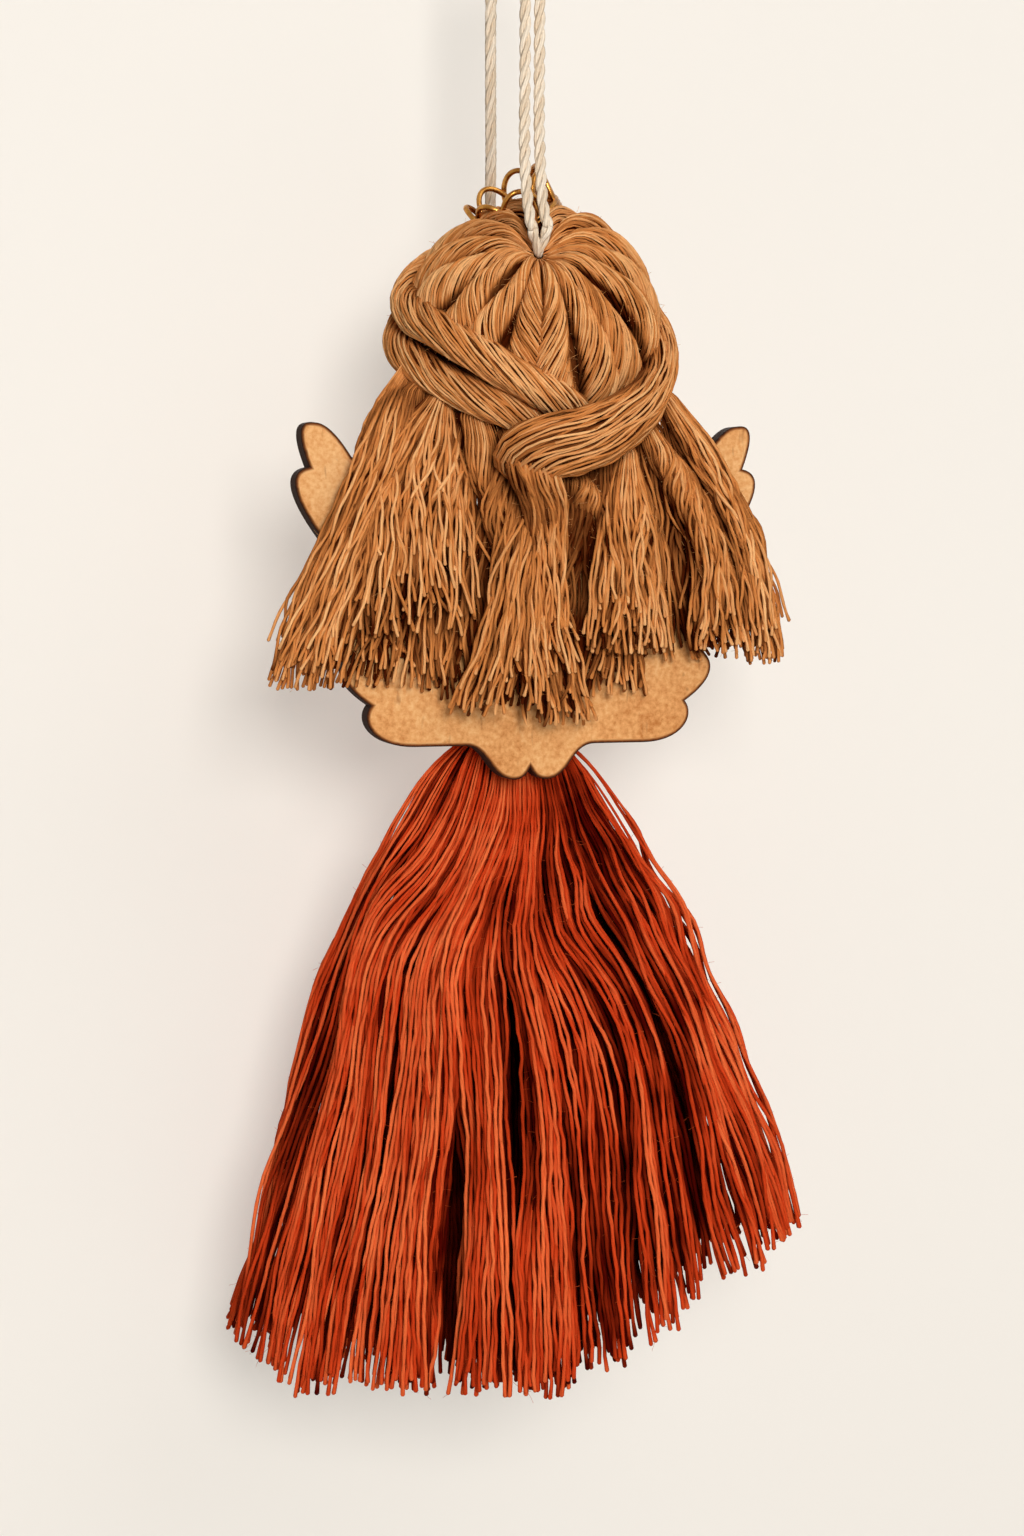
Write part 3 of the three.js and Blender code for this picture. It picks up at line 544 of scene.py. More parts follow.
def board_finish():
    """Raw fibreboard: pressed fibres, dark specks, and edges burnt by the laser."""
    finish = Finish("raw_mdf", roughness=0.8, specular=0.1)
    flecks = finish.noise(scale=1500.0, detail=4.0, roughness=0.65)
    clouds = finish.noise(scale=110.0, detail=3.0)
    mixed = finish.plus(finish.times(flecks, 0.65), finish.times(clouds, 0.45))
    colour = finish.ramp(mixed, [
        (0.32, srgb(180, 112, 57)), (0.52, srgb(215, 154, 95)), (0.72, srgb(232, 183, 126)),
    ])
    fibres = finish.noise(scale=1100.0, detail=1.0, vector=finish.stretched(0.22))
    dark_fibre = finish.times(finish.grey(fibres, 0.68, 0.78), 0.45)
    cells = finish.node("ShaderNodeTexVoronoi", Scale=420.0, Vector=finish.place())
    dots = finish.grey(cells.outputs["Distance"], 0.16, 0.06)
    pick = finish.grey(finish.noise(scale=300.0, detail=0.0), 0.56, 0.62)
    speck = finish.times(finish.times(dots, pick), 0.7)
    uneven = finish.plus(finish.attribute("burn"), finish.scaled(flecks, size=0.5, base=-0.25))
    marks = [
        (dark_fibre, srgb(120, 66, 30)), (speck, srgb(84, 42, 18)),
        (finish.grey(uneven, 0.1, 0.55), srgb(128, 72, 34)),
        (finish.grey(uneven, 0.5, 0.95), srgb(44, 24, 15)),
    ]
    for share, mark in marks:
        colour = finish.blend("MIX", share, colour, mark)
    finish.colour(colour)
    finish.bump(mixed, distance=0.00008, strength=0.7)
    return finish.material


def gold_finish():
    finish = Finish("gold_metal", roughness=0.24)
    wear = finish.noise(scale=700.0, detail=3.0)
    finish.colour(finish.ramp(wear, [(0.3, srgb(140, 88, 34)), (0.7, srgb(204, 148, 74))]))
    finish.feed(finish.shader.inputs["Roughness"], finish.scaled(wear, size=0.22, base=0.14))
    finish.shader.inputs["Metallic"].default_value = 1.0
    finish.bump(wear, distance=0.00003, strength=0.4)
    return finish.material


def bead_finish():
    """Turned pale wood: rings along the bead's bore with fine pores."""
    finish = Finish("bead_wood", roughness=0.5, specular=0.35)
    along_bore = finish.stretched(0.12)
    grain = finish.noise(scale=800.0, detail=4.0, vector=along_bore)
    rings = finish.node(
        "ShaderNodeTexWave", {"wave_type": "BANDS", "bands_direction": "X"},
        Scale=420.0, Vector=along_bore, Distortion=6.0,
    )
    shade = finish.plus(finish.times(grain, 0.75), finish.times(rings.outputs[1], 0.25))
    finish.colour(finish.ramp(shade, [
        (0.2, srgb(208, 168, 122)), (0.5, srgb(223, 188, 144)), (0.8, srgb(232, 203, 163)),
    ]))
    finish.bump(grain, distance=0.00003, strength=0.3)
    return finish.material


def glue_finish():
    finish = Finish("amber_glue", roughness=0.25, specular=0.5)
    clouds = finish.noise(scale=400.0)
    finish.colour(finish.ramp(clouds, [(0.3, srgb(196, 138, 62)), (0.7, srgb(230, 184, 112))]))
    finish.bump(clouds, distance=0.0002, strength=0.5)
    return finish.material


# The deep colour at tone 0 is reached mostly through painted shade on the yarns, and a little through random
# tone patches
terracotta_yarn = yarn_finish(
    "terracotta_yarn", srgb(74, 5, 0), srgb(200, 62, 24), srgb(238, 114, 62), plies=2, pitch=2.6)
caramel_yarn = yarn_finish(
    "caramel_yarn", srgb(74, 25, 3), srgb(206, 130, 68), srgb(238, 180, 120), plies=2, pitch=2.2)
cream_yarn = yarn_finish(
    "cream_cotton", srgb(206, 180, 148), srgb(230, 212, 188), srgb(244, 232, 214), plies=5, pitch=4.0)
raw_mdf = board_finish()
gold_metal = gold_finish()
bead_wood = bead_finish()
amber_glue = glue_finish()


# Camera

def add_camera():
    lens = bpy.data.cameras.new("photo_camera")
    lens.sensor_width = 36
    lens.lens = CAMERA_LENS
    lens.clip_start = 0.01
    lens.clip_end = 20
    camera = bpy.data.objects.new("photo_camera", lens)
    bpy.context.scene.collection.objects.link(camera)
    back = Vector(TO_CAMERA * math.cos(CAMERA_ELEVATION)) + Vector((0, 0, math.sin(CAMERA_ELEVATION)))
    spot = CAMERA_TARGET + np.array(back) * CAMERA_DISTANCE + SCREEN_RIGHT * CAMERA_SIDESTEP
    camera.location = Vector(spot * MM)
    camera.rotation_euler = (-back).to_track_quat("-Z", "Y").to_euler()
    bpy.context.scene.camera = camera


add_camera()


# Places on the head: longitude 0 at the back, positive to the right seen from behind

def head_direction(longitude, latitude):
    lon = np.radians(longitude)
    lat = np.radians(latitude)
    return np.stack([np.sin(lon) * np.cos(lat), -np.cos(lon) * np.cos(lat), np.sin(lat) + 0 * lon], axis=-1)


WHORL = head_direction(WHORL_LONGITUDE, WHORL_LATITUDE)
WHORL_DOWN = unit(np.array([0, 0, -1]) + WHORL * WHORL[2])
WHORL_SIDE = np.cross(WHORL_DOWN, WHORL)


# Hanging cord: two strands over the hook, each of three plies, tied into the whorl

CORD_PLIES = 3
CORD_PLY_OFFSET = 0.4
CORD_PLY_RADIUS = 0.35
CORD_PITCH = 6.5
CORD_FOOT_HEIGHT = 1
CORD_ROOT_SHARE = 0.2
CORD_INTO_SHARE = 0.4
CORD_STEPS = 180
CORD_SIDES = 9
CORD_TONES = np.array([0.35, 0.55, 0.7])
CORD_NEAR_PHASE = 0.4
CORD_FAR_PHASE = 1.9
PLY_SIDE = (0.9, 0.1, 0.3)
CORD_NEAR_ROUTE = [
    (-2.85, -16.4, -41.6), (-2.95, -15.2, -39), (-2.6, -12.7, -33.6), (-1.75, -9.8, -27),
    (-1.05, -7.7, -20), (-0.75, -6.8, -12.5), (-0.75, -6.8, -6.1), (-0.75, -5.9, -2.7),
    (-0.75, -3.4, -0.2), (-0.8, 0, 0.7), (-0.95, 3, -0.1), (-1.2, 5.2, -2.6), (-1.4, 5.9, -6.4),
    (-1.5, 5.9, -13), (-1.5, 5.9, -21), (-1.5, 5.8, -30), (-1.5, 5.3, -38.9),
]
CORD_FAR_ROUTE = [
    (-0.85, -16.4, -41.6), (-1, -15.2, -39), (-0.6, -12.7, -33.6), (0.15, -9.8, -27),
    (0.85, -7.7, -20), (1.15, -6.8, -12.5), (1.15, -6.8, -6.1), (1.15, -5.9, -2.6),
    (1.15, -3.4, 0.05), (1.1, 0.4, 1), (0.9, 4.1, 0.1), (0.3, 6.8, -2.6), (-0.5, 7.7, -6.4),
    (-0.9, 7.8, -13), (-0.9, 7.8, -21), (-0.9, 7.8, -30), (-0.9, 7.5, -39.6),
]


def plied(line, plies, offset, pitch, phase=0.0):
    """Lines of the plies that wind round a line."""
    side, across = carried(unit(np.gradient(line, axis=0)), PLY_SIDE)
    turns = TURN * (lengths_along(line) / pitch)[None] + (TURN * np.arange(plies) / plies)[:, None] + phase
    return line + offset * (side * np.cos(turns)[..., None] + across * np.sin(turns)[..., None])


def hanging_cord(node, route, phase, tie):
    """One strand of the cord. Its two ends in the hair go to the tie."""
    first = np.array(route[0])
    last = np.array(route[-1])
    foot = HEAD + WHORL * (SEAT + CORD_FOOT_HEIGHT)
    into = mix(first, foot, CORD_INTO_SHARE)
    root = mix(last, HEAD, CORD_ROOT_SHARE)
    line = smooth_line([foot, into] + route + [root], CORD_STEPS)
    cut = np.linalg.norm(line - first, axis=1).argmin()
    end = np.linalg.norm(line - last, axis=1).argmin()
    taper = smooth(np.arange(len(line)), -cut, cut)
    plies = plied(line, CORD_PLIES, CORD_PLY_OFFSET, CORD_PITCH, phase)
    plies = mix(line, plies, taper[:, None])
    strands = Strands()
    strands.add(plies[:, cut:end + 1], CORD_PLY_RADIUS, CORD_TONES, CORD_SIDES)
    tie.add(plies[:, end:], CORD_PLY_RADIUS, CORD_TONES, CORD_SIDES)
    tie.add(plies[:, :cut + 1], (CORD_PLY_RADIUS * taper)[:cut + 1], CORD_TONES, CORD_SIDES)
    piece = strands.put(f"{node}_plies", cream_yarn, "hanger", "cream_cotton", node)


def hanging_cords():
    tie = Strands()
    hanging_cord("hanging_cord_near", CORD_NEAR_ROUTE, CORD_NEAR_PHASE, tie)
    hanging_cord("hanging_cord_far", CORD_FAR_ROUTE, CORD_FAR_PHASE, tie)
    tie.put("hair_tie_plies", cream_yarn, "figure", "cream_cotton", "hair_tie_knot")


hanging_cords()


# Ropes of hair. A wander, rise or swell of yarns is a wavelength and a size, here and below.

BUNDLE_JITTER = 0.3
BUNDLE_WANDER = (10, 0.07)
BUNDLE_RISE = (7, 0.03)
BUNDLE_SINK = 0.1
BUNDLE_SWELL = (3.5, 0.08)
BUNDLE_THIN = 0.5 * BUNDLE_YARN
BUNDLE_THICK = 1.1 * BUNDLE_YARN
BUNDLE_FUZZ = 4
BUNDLE_HEART = 0.72
HEART_SIDES = 10
ROPE_STEPS = 60
TAPER_REACH = 0.1
SWELL_RANGE = (0.4, 0.7)


def rope_line(route, thickness, count):
    points = [
        HEAD + head_direction(lon, lat) * (SEAT + thickness * (0.5 + lift) + ROPE_STAND_OFF)
        for lon, lat, lift in route
    ]
    return smooth_line(points, count)


UPPER_ROPE_ROUTE = [
    (-163, 47, 0), (-143, 38, 0), (-116, 22, 0), (-88, 8, 0),
    (-57, -4, 0), (-32, -18.5, 0), (-9, -31, 0), (12, -40, 0),
]
LOWER_ROPE_ROUTE = [
    (-164, 27, 0), (-137, 17.5, 0), (-110, 1.5, 0), (-90, -10, 0.12),
    (-74, -19, 0.08), (-46, -32.5, 0.04), (-26, -41.5, 0), (-8, -49, 0),
]
WRAP_ROUTE = [
    (163, 37, 0), (143, 30, 0), (111, 12, 0), (88, -5, 0), (72, -16, 0.11), (60, -26, 0.22), (46, -34, 0.38),
    (25, -40, 0.62), (7, -43, 0.84), (-8, -45, 0.92), (-17, -49, 0.92), (-19, -55, 0.88), (-13, -61, 0.8),
]

# Each layer of a bundle: how far out it lies, how full it is, and its tones. The inner layer's low tones are
# painted shade.
BUNDLE_LAYERS = ((1.0, 0.86, 0.35, 1.0), (0.84, 1.0, 0.0, 0.15))


def bundle(strands, rng, line, half_width, half_thickness, count, twist, painted_groove_shade, layers=BUNDLE_LAYERS):
    """Yarns laid round a line on the head as an oval rope, with a filled heart. Its underside and sides, its
    inner layer and its heart are painted darker as shade.
    """
    outward = line - HEAD
    along = unit(np.gradient(line, axis=0))
    out = unit(outward - along * (outward * along).sum(axis=-1, keepdims=True))
    side = np.cross(along, out)
    lengths = lengths_along(line)[None]
    girth = math.pi * (half_width + half_thickness)
    for depth, fullness, low, high in layers:
        around = places_around(rng, count, BUNDLE_JITTER)
        around = around + twist[None] + wobble(rng, count, lengths, *BUNDLE_WANDER)
        rise = wobble(rng, count, lengths, *BUNDLE_RISE)
        share = depth * (1 + rise - BUNDLE_SINK * rng.uniform(0, 1, (count, 1)))
        sideways = ((half_width - BUNDLE_YARN)[None] * share * np.cos(around))[..., None] * side
        upward = ((half_thickness - BUNDLE_YARN)[None] * share * np.sin(around))[..., None] * out
        radius = np.clip(girth / (2 * count) * fullness, BUNDLE_THIN, BUNDLE_THICK)
        swell = 1 + wobble(rng, count, lengths, *BUNDLE_SWELL)
        # Painted shade: yarns on the underside and sides of a rope, in the grooves, get darker tones
        shade = mix(PAINTED_GROOVE_TONE, 1, smooth(np.sin(around), *painted_groove_shade))
        yarns = line + sideways + upward
        strands.add(yarns, radius[None] * swell, rng.uniform(low, high, (count, 1)) * shade)
    fuzz(strands, rng, yarns, BUNDLE_FUZZ * count)
    # The heart takes tone 0, a dark fill that is painted shade where it shows between yarns
    heart = BUNDLE_HEART * np.minimum(half_width, half_thickness)[None]
    strands.add(line[None], heart, 0.0, HEART_SIDES)


def ends_taper(share, first, last):
    start = first + (1 - first) * smooth(share, 0, TAPER_REACH)
    finish = last + (1 - last) * smooth(1 - share, 0, TAPER_REACH)
    return start * finish


def hair_rope(node, seed, route, width, thickness, count, turns, tapers, painted_groove_shade, swell=0):
    rng = np.random.default_rng(seed)
    line = rope_line(route, thickness, ROPE_STEPS)
    share = np.linspace(0, 1, ROPE_STEPS)
    taper = ends_taper(share, *tapers)
    half_width = taper * width / 2 * (1 + swell * smooth(share, *SWELL_RANGE))
    strands = Strands()
    bundle(strands, rng, line, half_width, taper * thickness / 2, count, TURN * turns * share, painted_groove_shade)
    strands.put(f"{node}_yarn", caramel_yarn, "figure", "caramel_yarn", node)


LEFT_ROPE = {
    "width": ROPE_WIDTH, "thickness": ROPE_WIDTH, "count": 42, "tapers": (0.55, 0.75), "painted_groove_shade": (-0.35, 0.5),
}
hair_rope("hair_rope_left_upper", 11, UPPER_ROPE_ROUTE, turns=-1.6, **LEFT_ROPE)
hair_rope("hair_rope_left_lower", 12, LOWER_ROPE_ROUTE, turns=-1.45, **LEFT_ROPE)
hair_rope(
    "hair_wrap_right", 13, WRAP_ROUTE, width=WRAP_WIDTH, thickness=WRAP_THICKNESS, count=62, turns=0.4,
    tapers=(0.5, 0.55), painted_groove_shade=(-0.8, 0.1), swell=WRAP_SWELL,
)


# Hair cap: cords that fan out from the whorl to the ropes

CAP_STEPS = 36
CAP_START = math.radians(3)
CAP_SEED = 100
CAP_WIDTHS = (0.8, 1.25)
CAP_OVERLAP = 1.16
CAP_BOW = 0.035
CAP_SWAY = 0.03
CAP_RISE = (0, 0.18)
CAP_ROOT_HEIGHT = 0.5
CAP_ROOT_THICKNESS = 0.9
CAP_HEIGHTS = (-0.3, 0.5)
CAP_FULLNESS = (0.95, 1.12)
CAP_TURNS = (0.9, 1.3)
CAP_PAINTED_GROOVE = (0.1, 0.7)
# Where a cord sinks towards its end, and to what share of its height, at the head's back and front
CAP_SINK_FROM = (0.74, 0.86)
CAP_SINK_TO = (0.72, 0.3)
CAP_FRONT = (-0.1, 0.3)
CAP_BACK = (-0.6, -0.1)
GROUND_CORDS = 13
GROUND_SPREAD = 1.25
GROUND_FROM = 0.5
ROPE_PLACES = 240
ROPE_NEAR = math.radians(2)


def cap_direction(polar, around):
    fan = WHORL_DOWN * np.cos(around)[..., None] + WHORL_SIDE * np.sin(around)[..., None]
    return WHORL * np.cos(polar)[..., None] + fan * np.sin(polar)[..., None]


def rope_places():
    """Where the upper rope and the wrap lie, as angles around the whorl and away from it."""
    upper = rope_line(UPPER_ROPE_ROUTE, ROPE_WIDTH, ROPE_PLACES)
    wrap = rope_line(WRAP_ROUTE, WRAP_THICKNESS, ROPE_PLACES)
    ways = unit(np.vstack([upper, wrap]) - HEAD)
    return np.arctan2(ways @ WHORL_SIDE, ways @ WHORL_DOWN), np.arccos(ways @ WHORL)


def cap_reach(around, places):
    arounds, polars = places
    offsets = np.abs(np.arctan2(np.sin(arounds - around), np.cos(arounds - around)))
    return polars[offsets < offsets.min() + ROPE_NEAR].min()


def hair_cap():
    places = rope_places()
    share = np.linspace(0, 1, CAP_STEPS)
    widths = np.random.default_rng(CAP_SEED - 1).uniform(*CAP_WIDTHS, CAP_CORDS)
    edges = np.concatenate([[0], np.cumsum(widths)]) * TURN / widths.sum()
    middles = (edges[1:] + edges[:-1]) / 2
    reaches = np.array([cap_reach(middle, places) for middle in middles]) + CAP_TUCK
    longest = np.maximum(np.maximum(np.roll(reaches, 1), np.roll(reaches, -1)), reaches)
    ends_y = cap_direction(reaches, middles)[:, 1]
    fronts = smooth(ends_y, *CAP_FRONT)
    backs = 1 - smooth(ends_y, *CAP_BACK)
    ground = np.linspace(-GROUND_SPREAD, GROUND_SPREAD, GROUND_CORDS)[:, None]
    for i, (middle, front) in enumerate(zip(middles, fronts)):
        rng = np.random.default_rng(CAP_SEED + i)
        spread = (edges[i + 1] - edges[i]) / 2
        polar = mix(CAP_START, mix(reaches[i], longest[i], front), share)
        bow = rng.normal(0, CAP_BOW) * np.sin(math.pi * share)
        bow = bow + rng.normal(0, CAP_SWAY) * np.sin(TURN * share)
        sinking = smooth(share, mix(*CAP_SINK_FROM, front), 1)
        rise = smooth(share, *CAP_RISE) * mix(1, mix(*CAP_SINK_TO, front), sinking)
        height = mix(CAP_ROOT_HEIGHT, CAP_THICKNESS / 2 + rng.uniform(*CAP_HEIGHTS), rise)
        line = HEAD + cap_direction(polar, middle + bow) * (SEAT + height)[:, None]
        half_width = (SEAT + height) * np.sin(polar) * spread * CAP_OVERLAP
        half_thickness = mix(CAP_ROOT_THICKNESS, CAP_THICKNESS / 2 * rng.uniform(*CAP_FULLNESS), rise)
        turning = math.copysign(rng.uniform(*CAP_TURNS), math.sin(middle))
        twist = TURN * turning * share + rng.uniform(0, TURN)
        strands = Strands()
        bundle(
            strands, rng, line, half_width, half_thickness, CAP_YARNS, twist, CAP_PAINTED_GROOVE, BUNDLE_LAYERS[:1])
        # Ground cords under each cord take tone 0, a dark backing that is painted shade between the cords
        ground_polar = polar + CAP_GROUND_REACH * backs[i] * smooth(share, GROUND_FROM, 1)
        ground_way = cap_direction(ground_polar[None] + 0 * ground, middle + bow[None] + ground * spread)
        strands.add(HEAD + ground_way * (SEAT + CAP_GROUND), CAP_GROUND, 0.0)
        node = f"hair_cap_cord_{i + 1:02d}"
        strands.put(f"hair_cap_yarn_{i + 1:02d}", caramel_yarn, "figure", "caramel_yarn", node)


hair_cap()


# Loose locks: tresses, each a fan of yarns along a spine of x, z and half its width, from the root down

LOCK_SEAT_Y = WING_BACK_Y - GAP
SIDE_HINGE = (LOCK_SEAT_Y - LOCK_ROOT_RADIUS, -67.5)
CENTRE_HINGE = (LOCK_SEAT_Y - LOCK_ROOT_RADIUS - 1.9, -73.5)
BEHIND = (0.0, 0.4)
BEFORE = (0.68, 1.0)
THROUGH = (0.3, 1.0)
OVER = (0.75, 1.25)
LOCKS = {
    "hair_lock_left_outer": ("hair_left", SIDE_HINGE, [
        {"count": 135, "layer": THROUGH, "ragged": 3, "back": 4.5, "spine": [
            (-14.8, -57.5, 1.4), (-17.2, -62.5, 2.4), (-19.4, -67.5, 2.9), (-23, -76.5, 3.8),
            (-25.6, -82.5, 4.5), (-29.4, -92.5, 5), (-31, -98.5, 5.3)]},
    ]),
    "hair_lock_left_inner": ("hair_left", SIDE_HINGE, [
        {"count": 130, "layer": BEHIND, "ragged": 3.2, "spine": [
            (-14.5, -61.5, 2.5), (-15.2, -69, 4.8), (-17, -80, 7), (-18.6, -91, 8.4), (-19.4, -98.5, 9.2)]},
        {"count": 150, "layer": BEFORE, "ragged": 4.6, "spine": [
            (-12.7, -62, 0.9), (-14.6, -67.5, 4.8), (-16.6, -75, 8.6), (-17.4, -82.5, 10.6),
            (-17.6, -92, 11.6)]},
    ]),
    "hair_lock_centre_left": ("hair_centre", CENTRE_HINGE, [
        {"count": 90, "layer": BEHIND, "ragged": 3, "spine": [
            (-8, -66, 3), (-8.5, -76, 5.2), (-8.8, -88, 6.6), (-8.8, -100, 7.4)]},
        {"count": 125, "layer": OVER, "ragged": 3, "twist": 0.5, "spine": [
            (-8.6, -65, 1.7), (-6.8, -69.5, 2.1), (-4.8, -75.5, 2.4), (-2.8, -82.5, 3.2), (-2.6, -91.5, 5.8),
            (-3.7, -102, 8.8)]},
    ]),
    "hair_lock_centre": ("hair_centre", CENTRE_HINGE, [
        # This tress is painted darker, painted shade in the gap between the locks
        {"count": 150, "layer": BEHIND, "ragged": 3, "shade": 0.25, "spine": [
            (2.6, -67.5, 7), (2.6, -76, 7), (2.2, -84, 7), (0.4, -92.5, 8.6), (-1.2, -101, 9.6)]},
        {"count": 95, "layer": THROUGH, "ragged": 3, "spine": [
            (0.4, -72, 1.3), (0.6, -77.5, 2.2), (0.6, -84, 2.4), (1.4, -91.5, 3.2), (2.9, -99, 4.4),
            (3.5, -103.5, 4.8)]},
        {"count": 90, "layer": OVER, "ragged": 3, "forward": 6.2, "spine": [
            (-3.8, -66, 2.1), (-3.7, -68.5, 2.6), (-2.7, -72, 2.6), (-0.5, -76, 2.7), (0.6, -80.5, 2.3),
            (1, -87.5, 2.3), (2.4, -97, 3.4)]},
    ]),
    "hair_lock_right_inner": ("hair_right", SIDE_HINGE, [
        {"count": 95, "layer": BEHIND, "ragged": 2.6, "spine": [
            (9.6, -69, 2.8), (10.8, -80, 2.4), (10.2, -87.5, 3.8), (9.6, -94, 5.2), (9.6, -100, 6.2)]},
        {"count": 60, "layer": (0.05, 0.6), "ragged": 2, "twist": 0.4, "forward": 3, "spine": [
            (3.6, -70.6, 1.6), (5, -73.2, 2), (6.8, -75.6, 2.1), (8.8, -79, 1.8), (10, -87, 1.8)]},
        {"count": 120, "layer": BEFORE, "ragged": 2.8, "spine": [
            (11.8, -69, 0.9), (11.4, -75, 2.8), (11.5, -80, 4.1), (11.6, -85, 5.2), (11.8, -94.5, 6.5)]},
    ]),
    "hair_lock_right_middle": ("hair_right", SIDE_HINGE, [
        {"count": 80, "layer": BEHIND, "ragged": 2.6, "spine": [
            (14.9, -66, 2.2), (17.4, -77.5, 4.2), (18.5, -87.5, 5.6), (19.6, -95.5, 6.4)]},
        {"count": 95, "layer": OVER, "ragged": 2.8, "twist": 0.5, "spine": [
            (14.4, -66, 1.1), (18.3, -71.5, 1.7), (21.2, -77.5, 2.2), (22.6, -82.5, 2.8), (23.3, -89, 4.1),
            (23.9, -94.5, 4.6)]},
    ]),
    "hair_lock_right_outer": ("hair_right", SIDE_HINGE, [
        {"count": 50, "layer": BEHIND, "ragged": 2.6, "spine": [
            (17.9, -63.5, 1.1), (21.7, -72.5, 2.1), (24.8, -81.5, 3.2), (26.6, -90.5, 4.2),
            (27, -95.5, 4.5)]},
        {"count": 84, "layer": BEFORE, "ragged": 2.6, "spine": [
            (17.3, -62, 1.1), (21.7, -68.5, 1.7), (25.7, -76, 2.2), (28, -82.5, 2.4), (29.6, -89, 2.6),
            (30.1, -96, 2.9)]},
    ]),
}
ROUTE_STEPS = 90
TRESS_STEPS = 32
RAGGED_SPREAD = 2.6
RAGGED_POWER = 1.2
STRAY_SHARE = 0.06
STRAY_DRIFT = 2.4
STRAY_FROM = 0.3
STRAY_POWER = 1.5
# Clumps of yarns that hang together, and where along the tress they close and open again
CLUMP_LEAST = 3
CLUMP_SIZE = 8
CLUMP_SPREAD = 0.95
CLUMP_PULL = 0.42
CLUMP_CLOSE = (0.15, 0.6)
CLUMP_OPEN = (0.75, 1)
CLUMP_OPENING = 0.4
CLUMP_WAVES = (11, 19)
CLUMP_SWAY = 0.3
CLUMP_STIR = 0.25
YARN_SPREAD = 1.1
TRESS_WANDER = (12, 0.2)
TRESS_FREE = (2, 10)
TWIST_END = 0.55
ROOT_FILL = 0.8
EDGE_ROUNDING = 0.25
BOW_RISE = (-0.02, 0.12)
BOW_FALL = (0.12, 0.55)
BACK_END = 0.25


def tress(rng, hinge, count, layer, ragged, spine, twist=0, forward=0, back=0, shade=1):
    """The yarns of one tress, how far each of their points is from the root, and a painted shade factor for
    their tones.
    """
    hinge_y, hinge_z = hinge
    route = smooth_line(spine, ROUTE_STEPS)
    length = lengths_along(route[:, :2])[-1]
    cut = RAGGED_SPREAD * ragged * rng.random((count, 1)) ** RAGGED_POWER
    share = np.linspace(0, 1, TRESS_STEPS)[None] * (1 - cut / length)
    places = np.linspace(0, 1, len(route))
    x, z, half = [np.interp(share, places, route[:, axis]) for axis in range(3)]
    fallen = share * length

    clumps = max(CLUMP_LEAST, count // CLUMP_SIZE)
    centres = rng.uniform(-CLUMP_SPREAD, CLUMP_SPREAD, (clumps, 2))
    member = rng.integers(0, clumps, count)
    own = rng.uniform(-YARN_SPREAD, YARN_SPREAD, (count, 2))
    pull = CLUMP_PULL * smooth(share, *CLUMP_CLOSE) * (1 - CLUMP_OPENING * smooth(share, *CLUMP_OPEN))
    u = mix(own[:, :1], centres[member, :1], pull)
    v = mix(own[:, 1:], centres[member, 1:], pull)
    across, inward = turned(u, v, TURN * twist * smooth(share, 0, TWIST_END))

    phase = rng.uniform(0, TURN, (clumps, 2))[member]
    rate = TURN / rng.uniform(*CLUMP_WAVES, (clumps, 1))[member]
    free = smooth(fallen, *TRESS_FREE)
    wave_x = CLUMP_SWAY * np.sin(fallen * rate + phase[:, :1]) + wobble(rng, count, fallen, *TRESS_WANDER)
    wave_y = CLUMP_STIR * np.sin(fallen * rate + phase[:, 1:]) + wobble(rng, count, fallen, *TRESS_WANDER)
    stray = np.where(rng.random((count, 1)) < STRAY_SHARE, rng.normal(0, STRAY_DRIFT, (count, 1)), 0)
    x = x + half * across + wave_x * free + stray * smooth(share, STRAY_FROM, 1) ** STRAY_POWER

    settle = smooth(hinge_z - z, 0, LOCK_SETTLE)
    root_half = ROOT_FILL * LOCK_ROOT_RADIUS
    inner_y = mix(hinge_y + root_half, LOCK_SEAT_Y, settle) - HAIR_YARN
    outer_y = mix(hinge_y - root_half, LOCK_SEAT_Y - LOCK_THICKNESS, settle) + HAIR_YARN
    depth = mix(layer[0], layer[1], 0.5 + 0.5 * inward) * (1 - EDGE_ROUNDING * across ** 2)
    bow = smooth(share, *BOW_RISE) * (1 - smooth(share, *BOW_FALL))
    y = mix(inner_y, outer_y, depth) + wave_y * free - forward * bow + back * (1 - smooth(share, 0, BACK_END))
    return np.stack([x, y, z], axis=-1), fallen, np.full((count, 1), shade)


LOCK_SEED = 200
LOCK_TONE_SEED = 250
LOCK_SWELL = (3, 0.08)
LOCK_ROOT_THIN = 0.5
LOCK_FULL = (0, 7)
LOCK_PUSHES = 14
LOCK_KINKED = (3, 9)
LOCK_TIP = 1.12
LOCK_TUCK_BEND = 0.3
LOCK_TUCK_STEPS = 7
LOCK_FUZZ = 3


